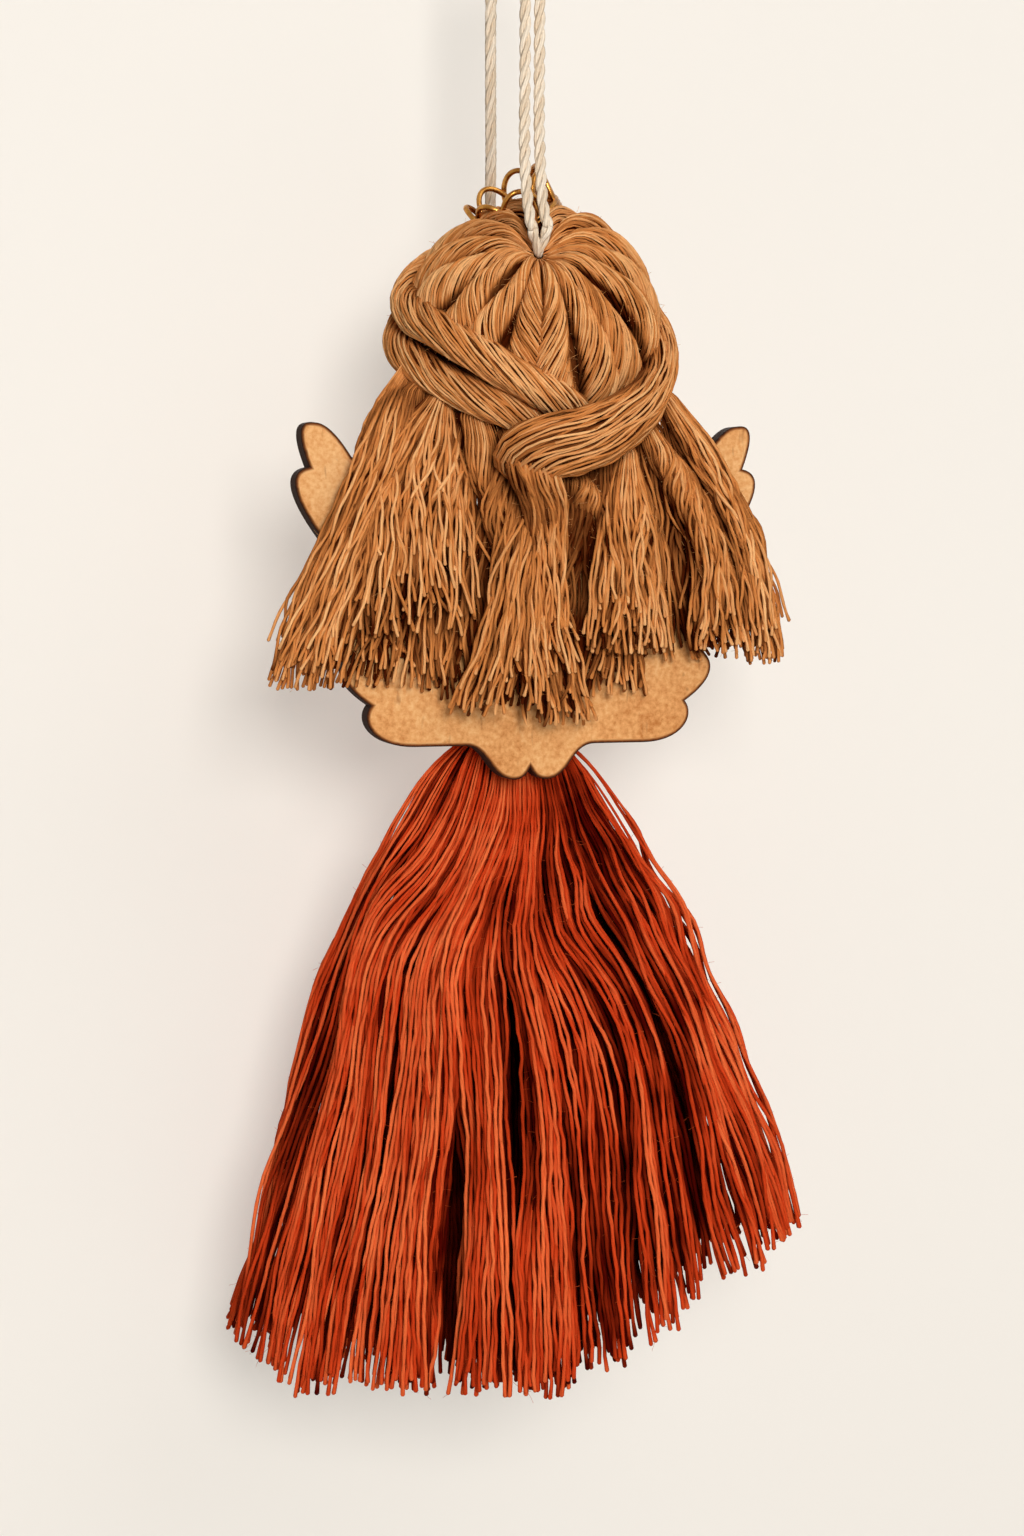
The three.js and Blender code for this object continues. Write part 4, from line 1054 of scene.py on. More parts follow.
def loose_lock(name, seed):
    """The yarns of one lock with roots tucked under the ropes, their radii, and a painted shade factor for
    their tones.
    """
    _, hinge, tresses = LOCKS[name]
    rng = np.random.default_rng(seed)
    made = [tress(rng, hinge, **spec) for spec in tresses]
    lines, fallen, shade = [np.concatenate(group) for group in zip(*made)]
    count = len(lines)
    radius = HAIR_YARN * (1 + wobble(rng, count, fallen, *LOCK_SWELL))
    radius = radius * mix(LOCK_ROOT_THIN, 1, smooth(fallen, *LOCK_FULL))
    lines = push_apart(lines, radius * YARN_ROOM, LOCK_PUSHES, count // 2)
    for axis in range(2):
        kink = wobble(rng, count, fallen, YARN_KINK_LENGTH, YARN_KINK)
        lines[..., axis] += kink * smooth(fallen, *LOCK_KINKED)
    lines[..., 1] = np.minimum(lines[..., 1], LOCK_SEAT_Y - HAIR_YARN)
    radius[:, -1] *= LOCK_TIP
    root = lines[:, :1]
    under = HEAD + unit(unit(root - HEAD) + (0, 0, LOCK_TUCK_RISE)) * (SEAT + LOCK_TUCK_HEIGHT)
    bend = root + LOCK_TUCK_BEND * (root - lines[:, 2:3])
    steps_up = np.linspace(0, 1, LOCK_TUCK_STEPS)[None, :-1, None]
    tuck = mix(mix(under, bend, steps_up), mix(bend, root, steps_up), steps_up)
    lines = np.concatenate([tuck, lines], axis=1)
    radius = np.concatenate([np.repeat(radius[:, :1], tuck.shape[1], axis=1), radius], axis=1)
    return lines, radius, shade


# Tones of the locks, with painted shade: yarns deep at the board are painted dark, less so near the ends, and
# yarns under others darker. Those that can be seen from the front, beside the head and beyond the wings, take
# their painted shade from there too.
LOCK_TONES = (0.45, 1)
DEEP_RANGE = (0.4, 2.6)
DEEP_SHADES = (0.35, 0.8)
DEEP_HEIGHTS = (-97, -91)
FRONT_HEIGHTS = (-80, -75)
FRONT_BESIDE_HEAD = (7, 10)
FRONT_BEYOND_WINGS = (25, 29)
FRONT_TONE = 0.7


def loose_locks():
    made = [loose_lock(name, LOCK_SEED + i) for i, name in enumerate(LOCKS)]
    every = np.concatenate([lines for lines, _, _ in made])
    shade = np.concatenate([share for _, _, share in made])
    x, y, z = np.moveaxis(every, -1, 0)
    aside = np.abs(x)
    # Painted shade by depth above the board
    deep = 1 - smooth(LOCK_SEAT_Y - y, *DEEP_RANGE)
    painted_light_share = painted_cover_light(-y, x, -z, LOCK_ROW) * (1 - deep * mix(*DEEP_SHADES, smooth(z, *DEEP_HEIGHTS)))
    beside_head = smooth(z, *FRONT_HEIGHTS) * smooth(aside, *FRONT_BESIDE_HEAD)
    seen_in_front = np.maximum(beside_head, smooth(aside, *FRONT_BEYOND_WINGS))
    painted_light_share = np.maximum(painted_light_share, FRONT_TONE * seen_in_front * painted_cover_light(y, x, -z, LOCK_ROW))
    tones = np.random.default_rng(LOCK_TONE_SEED).uniform(*LOCK_TONES, (len(every), 1)) * painted_light_share * shade
    first = 0
    for name, (lines, radius, _) in zip(LOCKS, made):
        strands = Strands()
        strands.add(lines, radius, tones[first:first + len(lines)], rounded=True)
        fuzz(strands, np.random.default_rng(first), lines, LOCK_FUZZ * len(lines))
        first += len(lines)
        piece = strands.put(f"{name}_yarn", caramel_yarn, None, "caramel_yarn", name)
        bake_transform(piece)


loose_locks()


# Wings: a laser-cut board, the outline of its right half read from the notch of the tail upward

TAIL_LOBE = (2.1, -1.55)
TAIL_SHOULDER = (8.7, 2.9)
FOOT_FROM = (15.3, 2.9)
FOOT_TIP = (21.6, 6.2)
FOOT_NOTCH = (21, 8.2)
FEATHERS = [
    ((26.6, 12), (23.3, 14.8)), ((28.4, 17.6), (25.1, 21.2)),
    ((29.4, 24.2), (26.3, 28)), ((33.4, 37.2), (28.8, 38.1)),
]
TOP_FEATHER = ((31.2, 44.2), (28.05, 43.6), (23.4, 39.4))
WING_VALLEY = (12, 31.5)
FOOT_ROUND = 1
SUMMIT_ROUND = 2
INSET_LEAN = 0.6
BEVEL_BURN = 0.75


def bezier(points, count=16):
    """A Bezier curve of any degree, without its first point."""
    share = np.linspace(0, 1, count + 1)[1:, None]
    layer = [np.asarray(point, float) + 0 * share for point in points]
    while len(layer) > 1:
        layer = [mix(a, b, share) for a, b in zip(layer, layer[1:])]
    return layer[0]


def wing_outline():
    ease = (TAIL_SHOULDER[0] + TAIL_LOBE[0]) / 2
    curves = [
        [(0, 0), (TAIL_LOBE[0] / 3, TAIL_LOBE[1]), TAIL_LOBE],
        [TAIL_LOBE, (ease, TAIL_LOBE[1]), (ease, TAIL_SHOULDER[1]), TAIL_SHOULDER],
        [TAIL_SHOULDER, FOOT_FROM],
        [FOOT_FROM, (FOOT_TIP[0] - FOOT_ROUND, FOOT_FROM[1]), (FOOT_TIP[0] + FOOT_ROUND, FOOT_TIP[1]),
         FOOT_NOTCH],
    ]
    corner = FOOT_NOTCH
    for tip, notch in FEATHERS:
        curves.append([corner, tip, notch])
        corner = notch
    outer, summit, inner = TOP_FEATHER
    curves.append([corner, outer, summit])
    curves.append([summit, (summit[0] - SUMMIT_ROUND, summit[1]), inner])
    curves.append([inner, WING_VALLEY, (0, WING_VALLEY[1])])
    half = np.vstack([[(0, 0)]] + [bezier(curve) for curve in curves])
    mirrored = half[-2:0:-1] * (-1, 1)
    return np.vstack([half, mirrored])


def inset(outline, depth):
    """The outline moved inward, a closed loop run counter-clockwise."""
    before = unit(outline - np.roll(outline, 1, axis=0))
    after = unit(np.roll(outline, -1, axis=0) - outline)
    normals = unit(np.stack([-(before + after)[:, 1], (before + after)[:, 0]], axis=1))
    lean = np.clip((normals * np.stack([-after[:, 1], after[:, 0]], axis=1)).sum(axis=1), INSET_LEAN, 1)
    return outline + normals * (depth / lean)[:, None]


def ring_faces(rings, count, closed):
    """Quads from each ring of points to the next, and from the last to the first if they are closed."""
    index = np.arange(rings * count).reshape(rings, count)
    following = np.roll(index, -1, axis=1)
    quads = np.stack([index, following, np.roll(following, -1, axis=0), np.roll(index, -1, axis=0)], axis=-1)
    if not closed:
        quads = quads[:-1]
    return quads.reshape(-1, 4).tolist()


def wing_board():
    outline = wing_outline()
    bevelled = inset(outline, WING_BEVEL)
    unburnt = inset(outline, WING_BURN)
    back = WING_BACK_Y
    front = WING_BACK_Y + WING_THICKNESS
    loops = [
        (unburnt, back, 0.0), (bevelled, back, BEVEL_BURN), (outline, back + WING_BEVEL, 1.0),
        (outline, front - WING_BEVEL, 1.0), (bevelled, front, BEVEL_BURN), (unburnt, front, 0.0),
    ]
    count = len(outline)
    points = []
    burns = []
    for ring, y, burn in loops:
        points += [(x * MM, y * MM, (WING_NOTCH_Z + z) * MM) for x, z in ring]
        burns += [burn] * count
    faces = ring_faces(len(loops), count, closed=False)
    face_outline = [Vector((x, z, 0)) for x, z in unburnt]
    last = (len(loops) - 1) * count
    for a, b, c in tessellate_polygon([face_outline]):
        faces.append((a, c, b))
        faces.append((last + a, last + b, last + c))
    mesh = bpy.data.meshes.new("wing_board_mdf")
    mesh.from_pydata(points, [], faces)
    scorch = mesh.attributes.new("burn", "FLOAT", "POINT")
    scorch.data.foreach_set("value", np.array(burns, np.float32))
    mesh.validate()
    put("wing_board_mdf", mesh, raw_mdf, "figure", "raw_mdf", "wing_board")


wing_board()


# Crown: a wire band with round wire hoops, sunk a little into the hair and tipped back

CROWN_TONE = 0.5
CROWN_SIDES = 10
CROWN_BANDS = (0.2, 0.7, 1.2)
BAND_STEPS = 65
HOOP_SPREAD = 0.62
HOOP_LEAN = 0.06
HOOP_STAGGER = 0.25
HOOP_POINTS = 40
HOOP_STEPS = 48


def wire_crown():
    seat = HEAD[2] + math.sqrt((SEAT + CAP_THICKNESS) ** 2 - CROWN_RADIUS ** 2) - CROWN_SINK
    spread = TURN / CROWN_HOOPS * HOOP_SPREAD
    share = np.linspace(-1, 1, HOOP_POINTS)
    rise = CROWN_HOOP_HEIGHT * np.sqrt(np.clip(1 - share ** 2, 0, 1))
    hoops = []
    for i in range(CROWN_HOOPS):
        angle = TURN * i / CROWN_HOOPS + share * spread
        reach = CROWN_RADIUS + HOOP_LEAN * rise + (HOOP_STAGGER if i % 2 else -HOOP_STAGGER)
        hoop = np.stack([reach * np.cos(angle), reach * np.sin(angle), CROWN_BAND_HEIGHT / 2 + rise], axis=1)
        hoops.append(resample(hoop, HOOP_STEPS))
    around = np.linspace(0, TURN, BAND_STEPS)
    ring = np.stack([CROWN_RADIUS * np.cos(around), CROWN_RADIUS * np.sin(around), 0 * around], axis=1)
    bands = [ring + (0, 0, height) for height in CROWN_BANDS]
    strands = Strands()
    for group in (hoops, bands):
        x, y, z = np.moveaxis(np.stack(group), -1, 0)
        y, z = turned(y, z, CROWN_TILT)
        x, z = turned(x, z, CROWN_ROLL)
        lines = np.stack([CROWN_CENTRE[0] + x, CROWN_CENTRE[1] + y, seat + z], axis=-1)
        strands.add(lines, CROWN_WIRE, CROWN_TONE, CROWN_SIDES)
    strands.put("crown_wire", gold_metal, "figure", "gold_metal", "crown")


wire_crown()


# Head: a turned bead

BEAD_ROWS = 41
BEAD_SIDES = 72
BORE_ROWS = (0.02, 0.5, 0.98)


def head_bead():
    bore = HEAD_BORE / 2
    rim = math.acos(bore / HEAD_RADIUS)
    arc = np.linspace(-rim, rim, BEAD_ROWS)
    profile = [(HEAD_RADIUS * math.cos(a), HEAD_RADIUS * math.sin(a)) for a in arc]
    profile += [(bore, mix(profile[-1][1], profile[0][1], share)) for share in BORE_ROWS]
    points = []
    for radius, z in profile:
        for k in range(BEAD_SIDES):
            angle = TURN * k / BEAD_SIDES
            spot = HEAD + (radius * math.cos(angle), radius * math.sin(angle), z)
            points.append(tuple(spot * MM))
    faces = ring_faces(len(profile), BEAD_SIDES, closed=True)
    mesh = bpy.data.meshes.new("head_bead_turned")
    mesh.from_pydata(points, [], faces)
    mesh.polygons.foreach_set("use_smooth", np.ones(len(faces), bool))
    mesh.validate()
    put("head_bead_turned", mesh, bead_wood, "figure", "bead_wood", "head_bead")


head_bead()


# Bodice, bindings and waist

BODICE_YARNS = 62
BODICE_STEPS = 40
BODICE_JITTER = 0.3
BODICE_WANDER = (8, 0.03)
BODICE_RISE = (6, 0.012)
BODICE_SINK = 0.05
BODICE_FULLNESS = 1.15
BODICE_THIN = 0.2
BODICE_TONES = (0.2, 0.8)
BODICE_HEART = 0.86
BODICE_HEART_SHADE_TONE = 0.1
BODICE_HEART_SIDES = 16
BINDING_STEPS = 260
BINDING_ARC_STEPS = 24
BINDING_PLIES = 3
BINDING_PLY_OFFSET = 0.22
BINDING_PLY_RADIUS = 0.24
BINDING_PLY_PITCH = 3.2
BINDING_TONES = np.array([0.3, 0.5, 0.7])
BINDING_SIDES = 7
WAIST_YARNS = 26
WAIST_STEPS = 22
WAIST_ARC = 0.47 * math.pi
WAIST_TWIST = 0.5
WAIST_SINK = 0.3
WAIST_RADII = (0.16, 0.42)
WAIST_TONES = (0.2, 0.8)

# Bodice, from the top down: height, half the width, half the depth, and how far it leans to the head
CHEST_Z = mix(NECK_BOTTOM_Z, WAIST_TOP_Z, 0.55)
BODICE_STATIONS = np.array([
    (NECK_TOP_Z, NECK_RADIUS, NECK_RADIUS, 0.72),
    (NECK_BOTTOM_Z, NECK_RADIUS, NECK_RADIUS, 0.26),
    (NECK_BOTTOM_Z - 4, BODICE_WIDTH * 0.43, BODICE_DEPTH * 0.43, 0),
    (CHEST_Z, BODICE_WIDTH / 2, BODICE_DEPTH / 2, 0),
    (WAIST_TOP_Z + 4, BODICE_WIDTH * 0.42, BODICE_DEPTH * 0.42, 0),
    (WAIST_TOP_Z, NECK_RADIUS, NECK_RADIUS, 0),
    (WAIST_Z + WAIST_CORE_RADIUS + GAP, NECK_RADIUS, NECK_RADIUS, 0),
])


def station(z, column):
    order = BODICE_STATIONS[::-1]
    return np.interp(z, order[:, 0], order[:, column])


def body_axis(lean):
    """The middle of the body, which leans back to the head at the neck."""
    return mix(BODY_X, HEAD[0], lean), mix(BODY_Y, HEAD[1], lean)


def bodice():
    rng = np.random.default_rng(300)
    count = BODICE_YARNS
    z = np.linspace(BODICE_STATIONS[0, 0], BODICE_STATIONS[-1, 0], BODICE_STEPS)[None] + np.zeros((count, 1))
    angle = places_around(rng, count, BODICE_JITTER)
    angle = angle + wobble(rng, count, -z, *BODICE_WANDER)
    lift = 1 - BODICE_SINK * rng.uniform(0, 1, (count, 1)) + wobble(rng, count, -z, *BODICE_RISE)
    wide = station(z, 1)
    thick = station(z, 2)
    middle_x, middle_y = body_axis(station(z, 3))
    x = middle_x + (wide - SKIRT_YARN) * lift * np.cos(angle)
    y = middle_y + (thick - SKIRT_YARN) * lift * np.sin(angle)
    radius = np.clip(math.pi * (wide + thick) / (2 * count) * BODICE_FULLNESS, BODICE_THIN, SKIRT_YARN)
    strands = Strands()
    strands.add(np.stack([x, y, z], axis=-1), radius, rng.uniform(*BODICE_TONES, count))
    # A dark heart inside the yarns, painted shade where it shows between them
    heart = np.stack([middle_x[:1], middle_y[:1], z[:1]], axis=-1)
    heart_radius = BODICE_HEART * np.minimum(wide, thick)[:1]
    strands.add(heart, heart_radius, BODICE_HEART_SHADE_TONE, BODICE_HEART_SIDES)
    strands.put("bodice_yarn", terracotta_yarn, "figure", "terracotta_yarn", "bodice")


def binding(node, top_z, leaning):
    turn = TURN * np.linspace(0, BINDING_TURNS, BINDING_ARC_STEPS * BINDING_TURNS + 1)
    z = top_z - BINDING_PITCH * turn / TURN
    middle_x, middle_y = body_axis(station(z, 3) if leaning else 0 * z)
    reach = NECK_RADIUS + GAP + BINDING_CORD / 2
    spiral = np.stack([middle_x + reach * np.cos(turn), middle_y + reach * np.sin(turn), z], axis=1)
    plies = plied(resample(spiral, BINDING_STEPS), BINDING_PLIES, BINDING_PLY_OFFSET, BINDING_PLY_PITCH)
    strands = Strands()
    strands.add(plies, BINDING_PLY_RADIUS, BINDING_TONES, BINDING_SIDES)
    strands.put(f"{node}_cord", cream_yarn, "figure", "cream_cotton", node)


def waist_core():
    rise = np.linspace(-WAIST_ARC, WAIST_ARC, WAIST_STEPS)[None]
    turn = TURN * np.arange(WAIST_YARNS)[:, None] / WAIST_YARNS + WAIST_TWIST * rise
    reach = WAIST_CORE_RADIUS - WAIST_SINK
    x = BODY_X + reach * np.cos(rise) * np.cos(turn)
    y = BODY_Y + reach * np.cos(rise) * np.sin(turn)
    z = WAIST_Z + reach * np.sin(rise) + 0 * turn
    strands = Strands()
    tones = np.linspace(*WAIST_TONES, WAIST_YARNS)
    strands.add(np.stack([x, y, z], axis=-1), mix(*WAIST_RADII, np.cos(rise)), tones)
    strands.put("waist_core_yarn", terracotta_yarn, "waist", "terracotta_yarn", "waist_core")


bodice()
binding("neck_binding", NECK_TOP_Z - BINDING_MARGIN, True)
binding("waist_binding", WAIST_TOP_Z - BINDING_MARGIN, False)
waist_core()


# Skirt: one flared bundle of loose yarn, open at the hem

SHOULDER_LEFT = 10.2
SHOULDER_RIGHT = 9.8
SHOULDER_DROP = 6
FLARE_LEFT = 0.28
FLARE_RIGHT = 0.38
BULGE_LEFT = 1.4
BULGE_DROP = 36
BULGE_SPAN = 20
FLARE_BACK = 0.125
FLARE_FRONT = 0.16
TUCK_FROM = 5
TUCK_TO = 32
SKIRT_TURN = math.radians(-17)
TURN_FROM = 6
TURN_TO = 34
HEM_RISE_FROM = 6
HEM_RISE_RIGHT = 0.5
HEM_RISE_BACK = 0.2
HEM_RISE_LEFT = 0.6
HEM_LEFT_FROM = 29
FLICK_LEFT = 2.2
FLICK_FROM = 40
SKIRT_YARNS = 1350
SKIRT_SKIN = 1
SKIRT_SKIN_SHARE = 0.27
SKIRT_HEART_DEPTH = 1.8
SKIRT_ROW = 1.9
SKIRT_STEPS = 50
SKIRT_STEP_POWER = 1.15
SKIRT_JITTER = 0.4
SKIN_POWER = 1.2
GATHER_FILL = 0.92
GATHERED = (0, 34)
HEART_FILL = 0.55
HEM_RAGGED = 0.7
HEM_SHORTER = 0.6
HEM_LONGER = 0.4
SKIRT_FACING = (-0.1, 0.35)
SKIRT_LOOSE = (1, 16)
SKIRT_SWAY = (20, 0.24)
SKIRT_STIR = (18, 0.22)
SKIRT_SWELL = (3.2, 0.08)
# Slits and hollows between the yarns: seed, wavelength, stretch along Z and size
SKIRT_SLITS = ((41, 5.5, 0.1, 0.42), (42, 11, 0.14, 0.5))
SKIRT_HOLLOWS = ((43, 6.5, 0.12, 0.35), (44, 15, 0.18, 0.45))
HOLLOW_SINK = 0.1
SKIRT_TOP_THIN = 0.55
SKIRT_FULL = (0, 26)
SKIRT_ROOMY = (5, 25)
SKIRT_PUSHES = 20
SKIRT_PUSH_REACH = 40
SKIRT_TIP = 0.2
SKIRT_TIP_FROM = 0.985
SKIRT_TONES = (0.5, 1)
SKIRT_CORE = 6
HEM_TONE = 0.84
HEM_DARKENS = (0.78, 0.98)

# Dark folds on the photographed side: sideways place on the picture and height, from the top down
FOLDS = [
    {"line": [(-0.2, -119), (-0.6, -124), (-2, -129.5), (-2.7, -133), (-0.9, -138), (-0.1, -142), (0.6, -150),
              (1, -164)],
     "opening": 1.1, "reach": 2.4, "depth": 3.2},
    {"line": [(-5.4, -148), (-6.4, -155), (-8.3, -170), (-9.2, -185), (-9.6, -192)],
     "opening": 1.0, "reach": 2.6, "depth": 3.2},
]
# The sweep to the right: height, span, and its size by the share of the way to the right edge
SWEEP_HEIGHT = -128
SWEEP_SPAN = 9.5
SWEEP_PLACES = [-0.45, 0, 0.45, 0.7, 1]
SWEEP_SIZES = [0, 2.2, 6.0, 4.8, 2.2]
SWEEP_EDGE_HEIGHTS = [-150, -130, -112]
SWEEP_EDGES = [27, 20, 12]
FOLD_FADE_LOW = 6
FOLD_FADE_HIGH = 10
FOLD_NARROWING = 1.4


def skirt_reach(angle, drop):
    right = np.cos(angle) > 0
    shoulder = np.where(right, SHOULDER_RIGHT, SHOULDER_LEFT)
    spread = SKIRT_TOP_RADIUS + shoulder * (1 - np.exp(-drop / SHOULDER_DROP))
    tucked = SKIRT_TOP_RADIUS + SHOULDER_RIGHT * smooth(drop, TUCK_FROM, TUCK_TO)
    half_width = spread + drop * np.where(right, FLARE_RIGHT, FLARE_LEFT)
    bulge = BULGE_LEFT * np.exp(-((drop - BULGE_DROP) / BULGE_SPAN) ** 2)
    flick = FLICK_LEFT * smooth(drop, FLICK_FROM, SKIRT_LENGTH)
    half_width = half_width + np.where(right, 0, bulge + flick)
    flare = np.where(np.sin(angle) > 0, FLARE_BACK, FLARE_FRONT)
    half_depth = tucked + drop * flare * smooth(drop, 0, TUCK_TO)
    return 1 / np.hypot(np.cos(angle) / half_width, np.sin(angle) / half_depth)


def hem_drop(angle):
    reach = skirt_reach(angle, SKIRT_LENGTH)
    rightward = np.maximum(0, reach * np.cos(angle) - HEM_RISE_FROM)
    backward = np.maximum(0, reach * np.sin(angle))
    leftward = np.maximum(0, -reach * np.cos(angle) - HEM_LEFT_FROM)
    return SKIRT_LENGTH - HEM_RISE_RIGHT * rightward - HEM_RISE_BACK * backward - HEM_RISE_LEFT * leftward


def fold_over(points, facing):
    """Opens the dark folds: yarns beside a fold move apart and sink in."""
    across = points @ SCREEN_RIGHT
    z = points[..., 2]
    moved = points
    for fold in FOLDS:
        line = np.array(fold["line"])[::-1]
        bottom = line[0, 1]
        top = line[-1, 1]
        away = across - np.interp(z, line[:, 1], line[:, 0])
        window = smooth(z, bottom - FOLD_FADE_LOW, bottom + FOLD_FADE_LOW)
        window = window * (1 - smooth(z, top - FOLD_FADE_HIGH, top)) * facing
        near = np.exp(-(away / fold["reach"]) ** 2) * window
        sunk = np.exp(-(away / fold["reach"] * FOLD_NARROWING) ** 2) * window
        weight = window + TINY
        side = np.sign((away * weight).sum(axis=1) / weight.sum(axis=1))[:, None]
        moved = moved + SCREEN_RIGHT * (side * fold["opening"] * near)[..., None]
        moved = moved - TO_CAMERA * (fold["depth"] * sunk)[..., None]
    return moved


def sweep_over(points, facing):
    """The right half hangs straight at first and then swings out to the right in a wave."""
    across = points @ SCREEN_RIGHT
    rise = (points[..., 2] - SWEEP_HEIGHT) / SWEEP_SPAN
    edge = np.interp(points[..., 2], SWEEP_EDGE_HEIGHTS, SWEEP_EDGES)
    size = np.interp(across / edge, SWEEP_PLACES, SWEEP_SIZES)
    return points - SCREEN_RIGHT * (size * np.exp(-rise ** 2) * facing)[..., None]


def ripples(points, waves):
    return sum(Ripple(seed, length, (1, 1, stretch))(points) * size for seed, length, stretch, size in waves)


def skirt():
    rng = np.random.default_rng(400)
    count = SKIRT_YARNS
    angle = places_around(rng, count, SKIRT_JITTER)
    rank = rng.permutation(count)[:, None] / count
    ragged = rng.normal(0, HEM_RAGGED, (count, 1))
    length = hem_drop(angle) + ragged - rng.exponential(HEM_SHORTER, (count, 1)) + HEM_LONGER
    share = np.linspace(0, 1, SKIRT_STEPS)[None] ** SKIRT_STEP_POWER
    drop = share * length
    full = skirt_reach(angle, drop)
    skin = SKIRT_SKIN * np.clip(rank / SKIRT_SKIN_SHARE, 0, 1) ** SKIN_POWER
    heart = np.clip((rank - SKIRT_SKIN_SHARE) / (1 - SKIRT_SKIN_SHARE), 0, 1)
    hanging = mix(skin, mix(SKIRT_HEART_DEPTH, HEART_FILL * full, heart), heart > 0)
    deep = mix(GATHER_FILL * rank * full, hanging, smooth(drop, *GATHERED))
    reach = full - deep - SKIRT_YARN
    turn = SKIRT_TURN * smooth(drop, TURN_FROM, TURN_TO)
    x, y = turned(reach * np.cos(angle), -reach * np.sin(angle), turn)
    points = np.stack([BODY_X + x, BODY_Y + y, WAIST_Z - SKIRT_TOP_DROP - drop], axis=-1)
    outward = unit((points - (BODY_X, BODY_Y, 0)) * (1, 1, 0) + 1e-9)
    tangent = np.stack([-outward[..., 1], outward[..., 0], 0 * drop], axis=-1)
    facing = smooth(outward @ TO_CAMERA, *SKIRT_FACING)
    loose = smooth(drop, *SKIRT_LOOSE)
    slits = ripples(points, SKIRT_SLITS)
    hollows = ripples(points, SKIRT_HOLLOWS)
    sway = wobble(rng, count, drop, *SKIRT_SWAY)
    stir = wobble(rng, count, drop, *SKIRT_STIR)
    points = points + tangent * ((slits + sway) * loose)[..., None]
    points = points + outward * ((hollows - HOLLOW_SINK + stir) * loose)[..., None]
    points = fold_over(sweep_over(points, facing), facing)
    radius = SKIRT_YARN * mix(SKIRT_TOP_THIN, 1, smooth(drop, *SKIRT_FULL))
    radius = radius * (1 + wobble(rng, count, drop, *SKIRT_SWELL))
    room = radius * mix(1, SKIRT_ROOM, smooth(drop, *SKIRT_ROOMY))
    points = push_apart(points, room, SKIRT_PUSHES, SKIRT_PUSH_REACH)
    points = points + tangent * (wobble(rng, count, drop, YARN_KINK_LENGTH, YARN_KINK) * loose)[..., None]
    radius = radius * (1 + SKIRT_TIP * smooth(share, SKIRT_TIP_FROM, 1))
    span = points - (BODY_X, BODY_Y, 0)
    out = np.hypot(span[..., 0], span[..., 1])
    across = np.arctan2(span[..., 1], span[..., 0]) * np.maximum(full, SKIRT_CORE)
    # Yarns under and among higher yarns get painted shade in their tones
    tones = rng.uniform(*SKIRT_TONES, (count, 1)) * painted_cover_light(out, across, drop, SKIRT_ROW)
    tones = tones * mix(1, HEM_TONE, smooth(share, *HEM_DARKENS))
    sector = (np.arange(count) * SKIRT_LOCKS) // count
    for i in range(SKIRT_LOCKS):
        chosen = sector == i
        strands = Strands()
        strands.add(points[chosen], radius[chosen], tones[chosen], rounded=True)
        fuzz(strands, rng, points[chosen & (rank[:, 0] < SKIRT_SKIN_SHARE)], SKIRT_FUZZ)
        node = f"skirt_lock_{i + 1:02d}"
        strands.put(f"skirt_yarn_{i + 1:02d}", terracotta_yarn, "skirt", "terracotta_yarn", node)


skirt()


# CAD nodes that stay get their finishes

KEPT_NODES = {"head_core_cord": cream_yarn, "wing_glue": amber_glue}
for kept_name, kept_finish in KEPT_NODES.items():
    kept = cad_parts[kept_name]
    kept.data.materials.clear()
    kept.data.materials.append(kept_finish)


# Stage: a pale wall close behind, a pale floor, soft light from the camera's side and above, and one lamp for
# views of the front. Lengths are metres here. Both planes are clear from behind, and glow for the camera.

STAGE_GLOW = 1.0
STAGE_COLOUR = srgb(177, 173, 167)
STAGE_PALER = 1.02
STAGE_HALF = 1.6
WALL_GAP = 0.003
FLOOR_DROP = 0.06
SKY_LIGHT = 0.08
SKY_SEEN = 0.85
SKY_COLOUR = (1, 0.985, 0.96, 1)
LAMP_COLOUR = (1, 0.985, 0.965)
LAMP_AIM = (0, 0, -0.11)
# Lamps: place, size and power
LAMPS = {
    "key_softbox": ((-0.118, -0.963, 0.132), 0.3, 8.2),
    "top_softbox": ((0.45, -0.7, 0.6), 0.8, 3.0),
    "front_softbox": ((0.3, 0.95, 0.1), 0.5, 6.5),
}


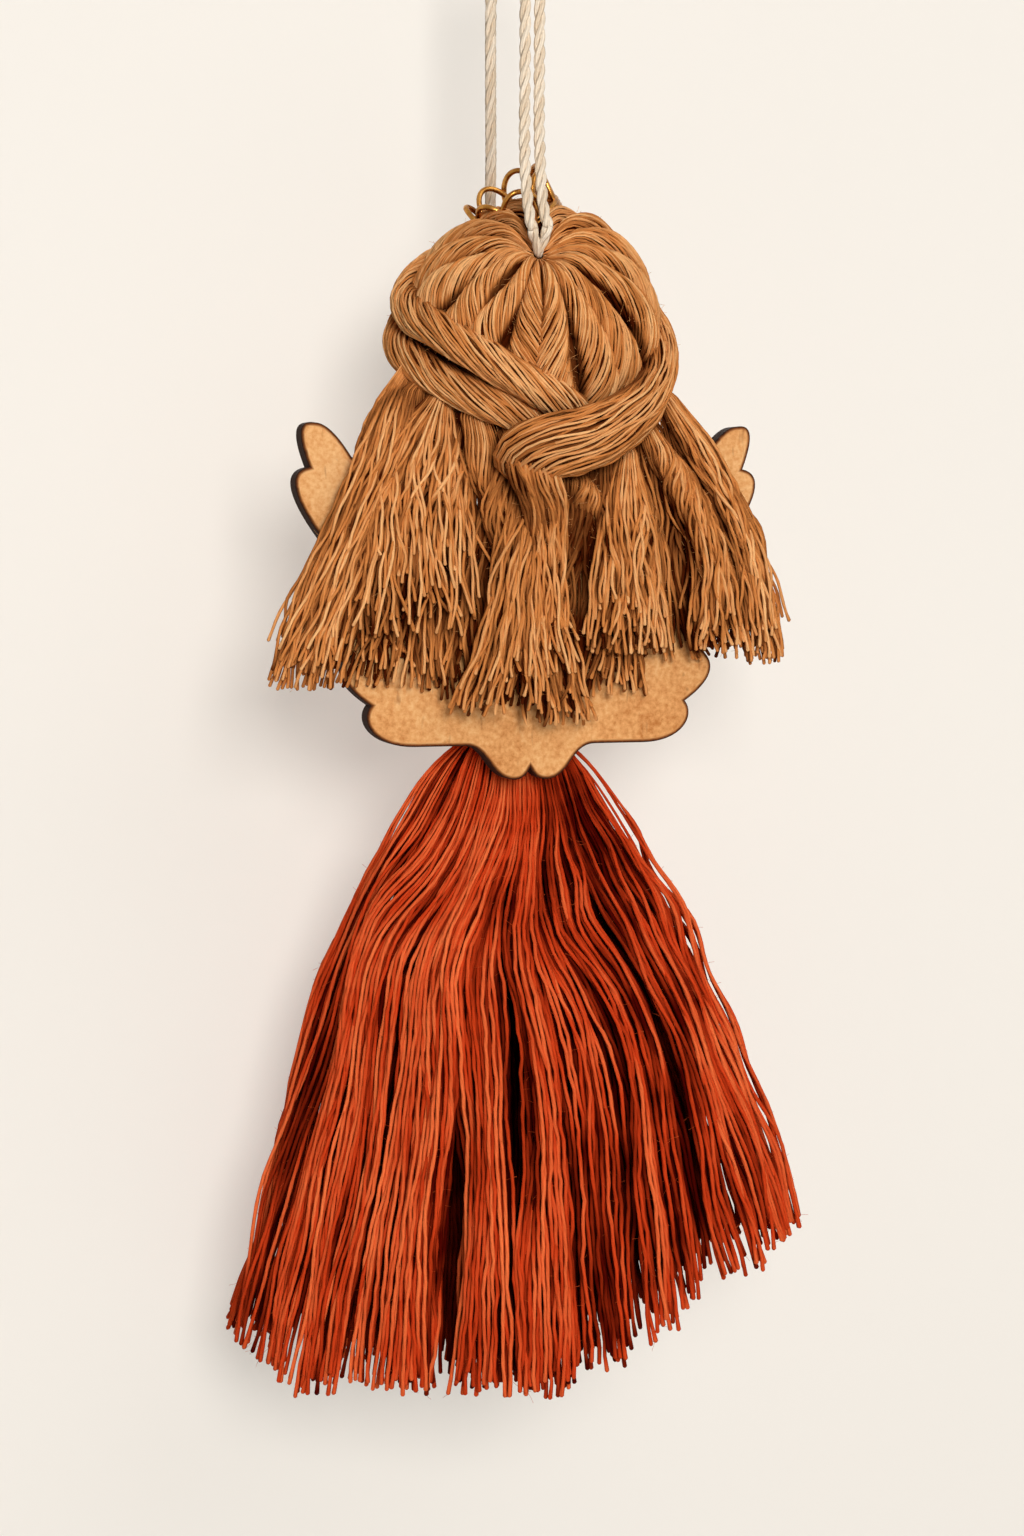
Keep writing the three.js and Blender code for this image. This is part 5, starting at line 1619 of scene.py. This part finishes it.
def stage_finish(name):
    finish = Finish(name, roughness=0.9, specular=0.1)
    paler = tuple(min(1, part * STAGE_PALER) for part in STAGE_COLOUR[:3]) + (1,)
    paint = finish.ramp(finish.noise(scale=6.0), [(0.3, STAGE_COLOUR), (0.7, paler)])
    finish.colour(paint)
    finish.feed(finish.shader.inputs["Emission Color"], paint)
    finish.feed(finish.shader.inputs["Emission Strength"], finish.times(finish.seen(), STAGE_GLOW))
    clear = finish.node("ShaderNodeBsdfTransparent")
    behind = finish.node("ShaderNodeNewGeometry").outputs["Backfacing"]
    switch = finish.node("ShaderNodeMixShader", i0=behind, i1=finish.shader.outputs[0], i2=clear.outputs[0])
    finish.feed(finish.tree.nodes["Material Output"].inputs["Surface"], switch.outputs[0])
    return finish.material


def flat(name, corners):
    mesh = bpy.data.meshes.new(name)
    mesh.from_pydata(corners, [], [(0, 1, 2, 3)])
    mesh.materials.append(stage_finish(f"{name}_paint"))
    piece = bpy.data.objects.new(name, mesh)
    bpy.context.scene.collection.objects.link(piece)
    return piece


def lamp(name, spot, size, power):
    light = bpy.data.lights.new(name, "AREA")
    light.shape = "SQUARE"
    light.size = size
    light.energy = power
    light.color = LAMP_COLOUR
    piece = bpy.data.objects.new(name, light)
    piece.location = spot
    piece.rotation_euler = (Vector(LAMP_AIM) - Vector(spot)).to_track_quat("-Z", "Y").to_euler()
    bpy.context.scene.collection.objects.link(piece)


def stage():
    wall_y = cad_high[1] + WALL_GAP
    floor_z = cad_low[2] - FLOOR_DROP
    square = [(-STAGE_HALF, 0), (STAGE_HALF, 0), (STAGE_HALF, STAGE_HALF), (-STAGE_HALF, STAGE_HALF)]
    wall = flat("wall", [(x, wall_y, floor_z + z) for x, z in square])
    wall.visible_shadow = False
    flat("floor", [(x, 2 * y - STAGE_HALF, floor_z) for x, y in square])
    for name, (spot, size, power) in LAMPS.items():
        lamp(name, spot, size, power)
    world = bpy.data.worlds.new("studio")
    world.use_nodes = True
    nodes = Nodes(world.node_tree)
    sky = nodes.tree.nodes["Background"]
    sky.inputs["Color"].default_value = SKY_COLOUR
    strength = nodes.math("MAXIMUM", nodes.times(nodes.seen(), SKY_SEEN), SKY_LIGHT)
    nodes.feed(sky.inputs["Strength"], strength)
    bpy.context.scene.world = world


stage()
bpy.context.scene.view_settings.view_transform = "Standard"
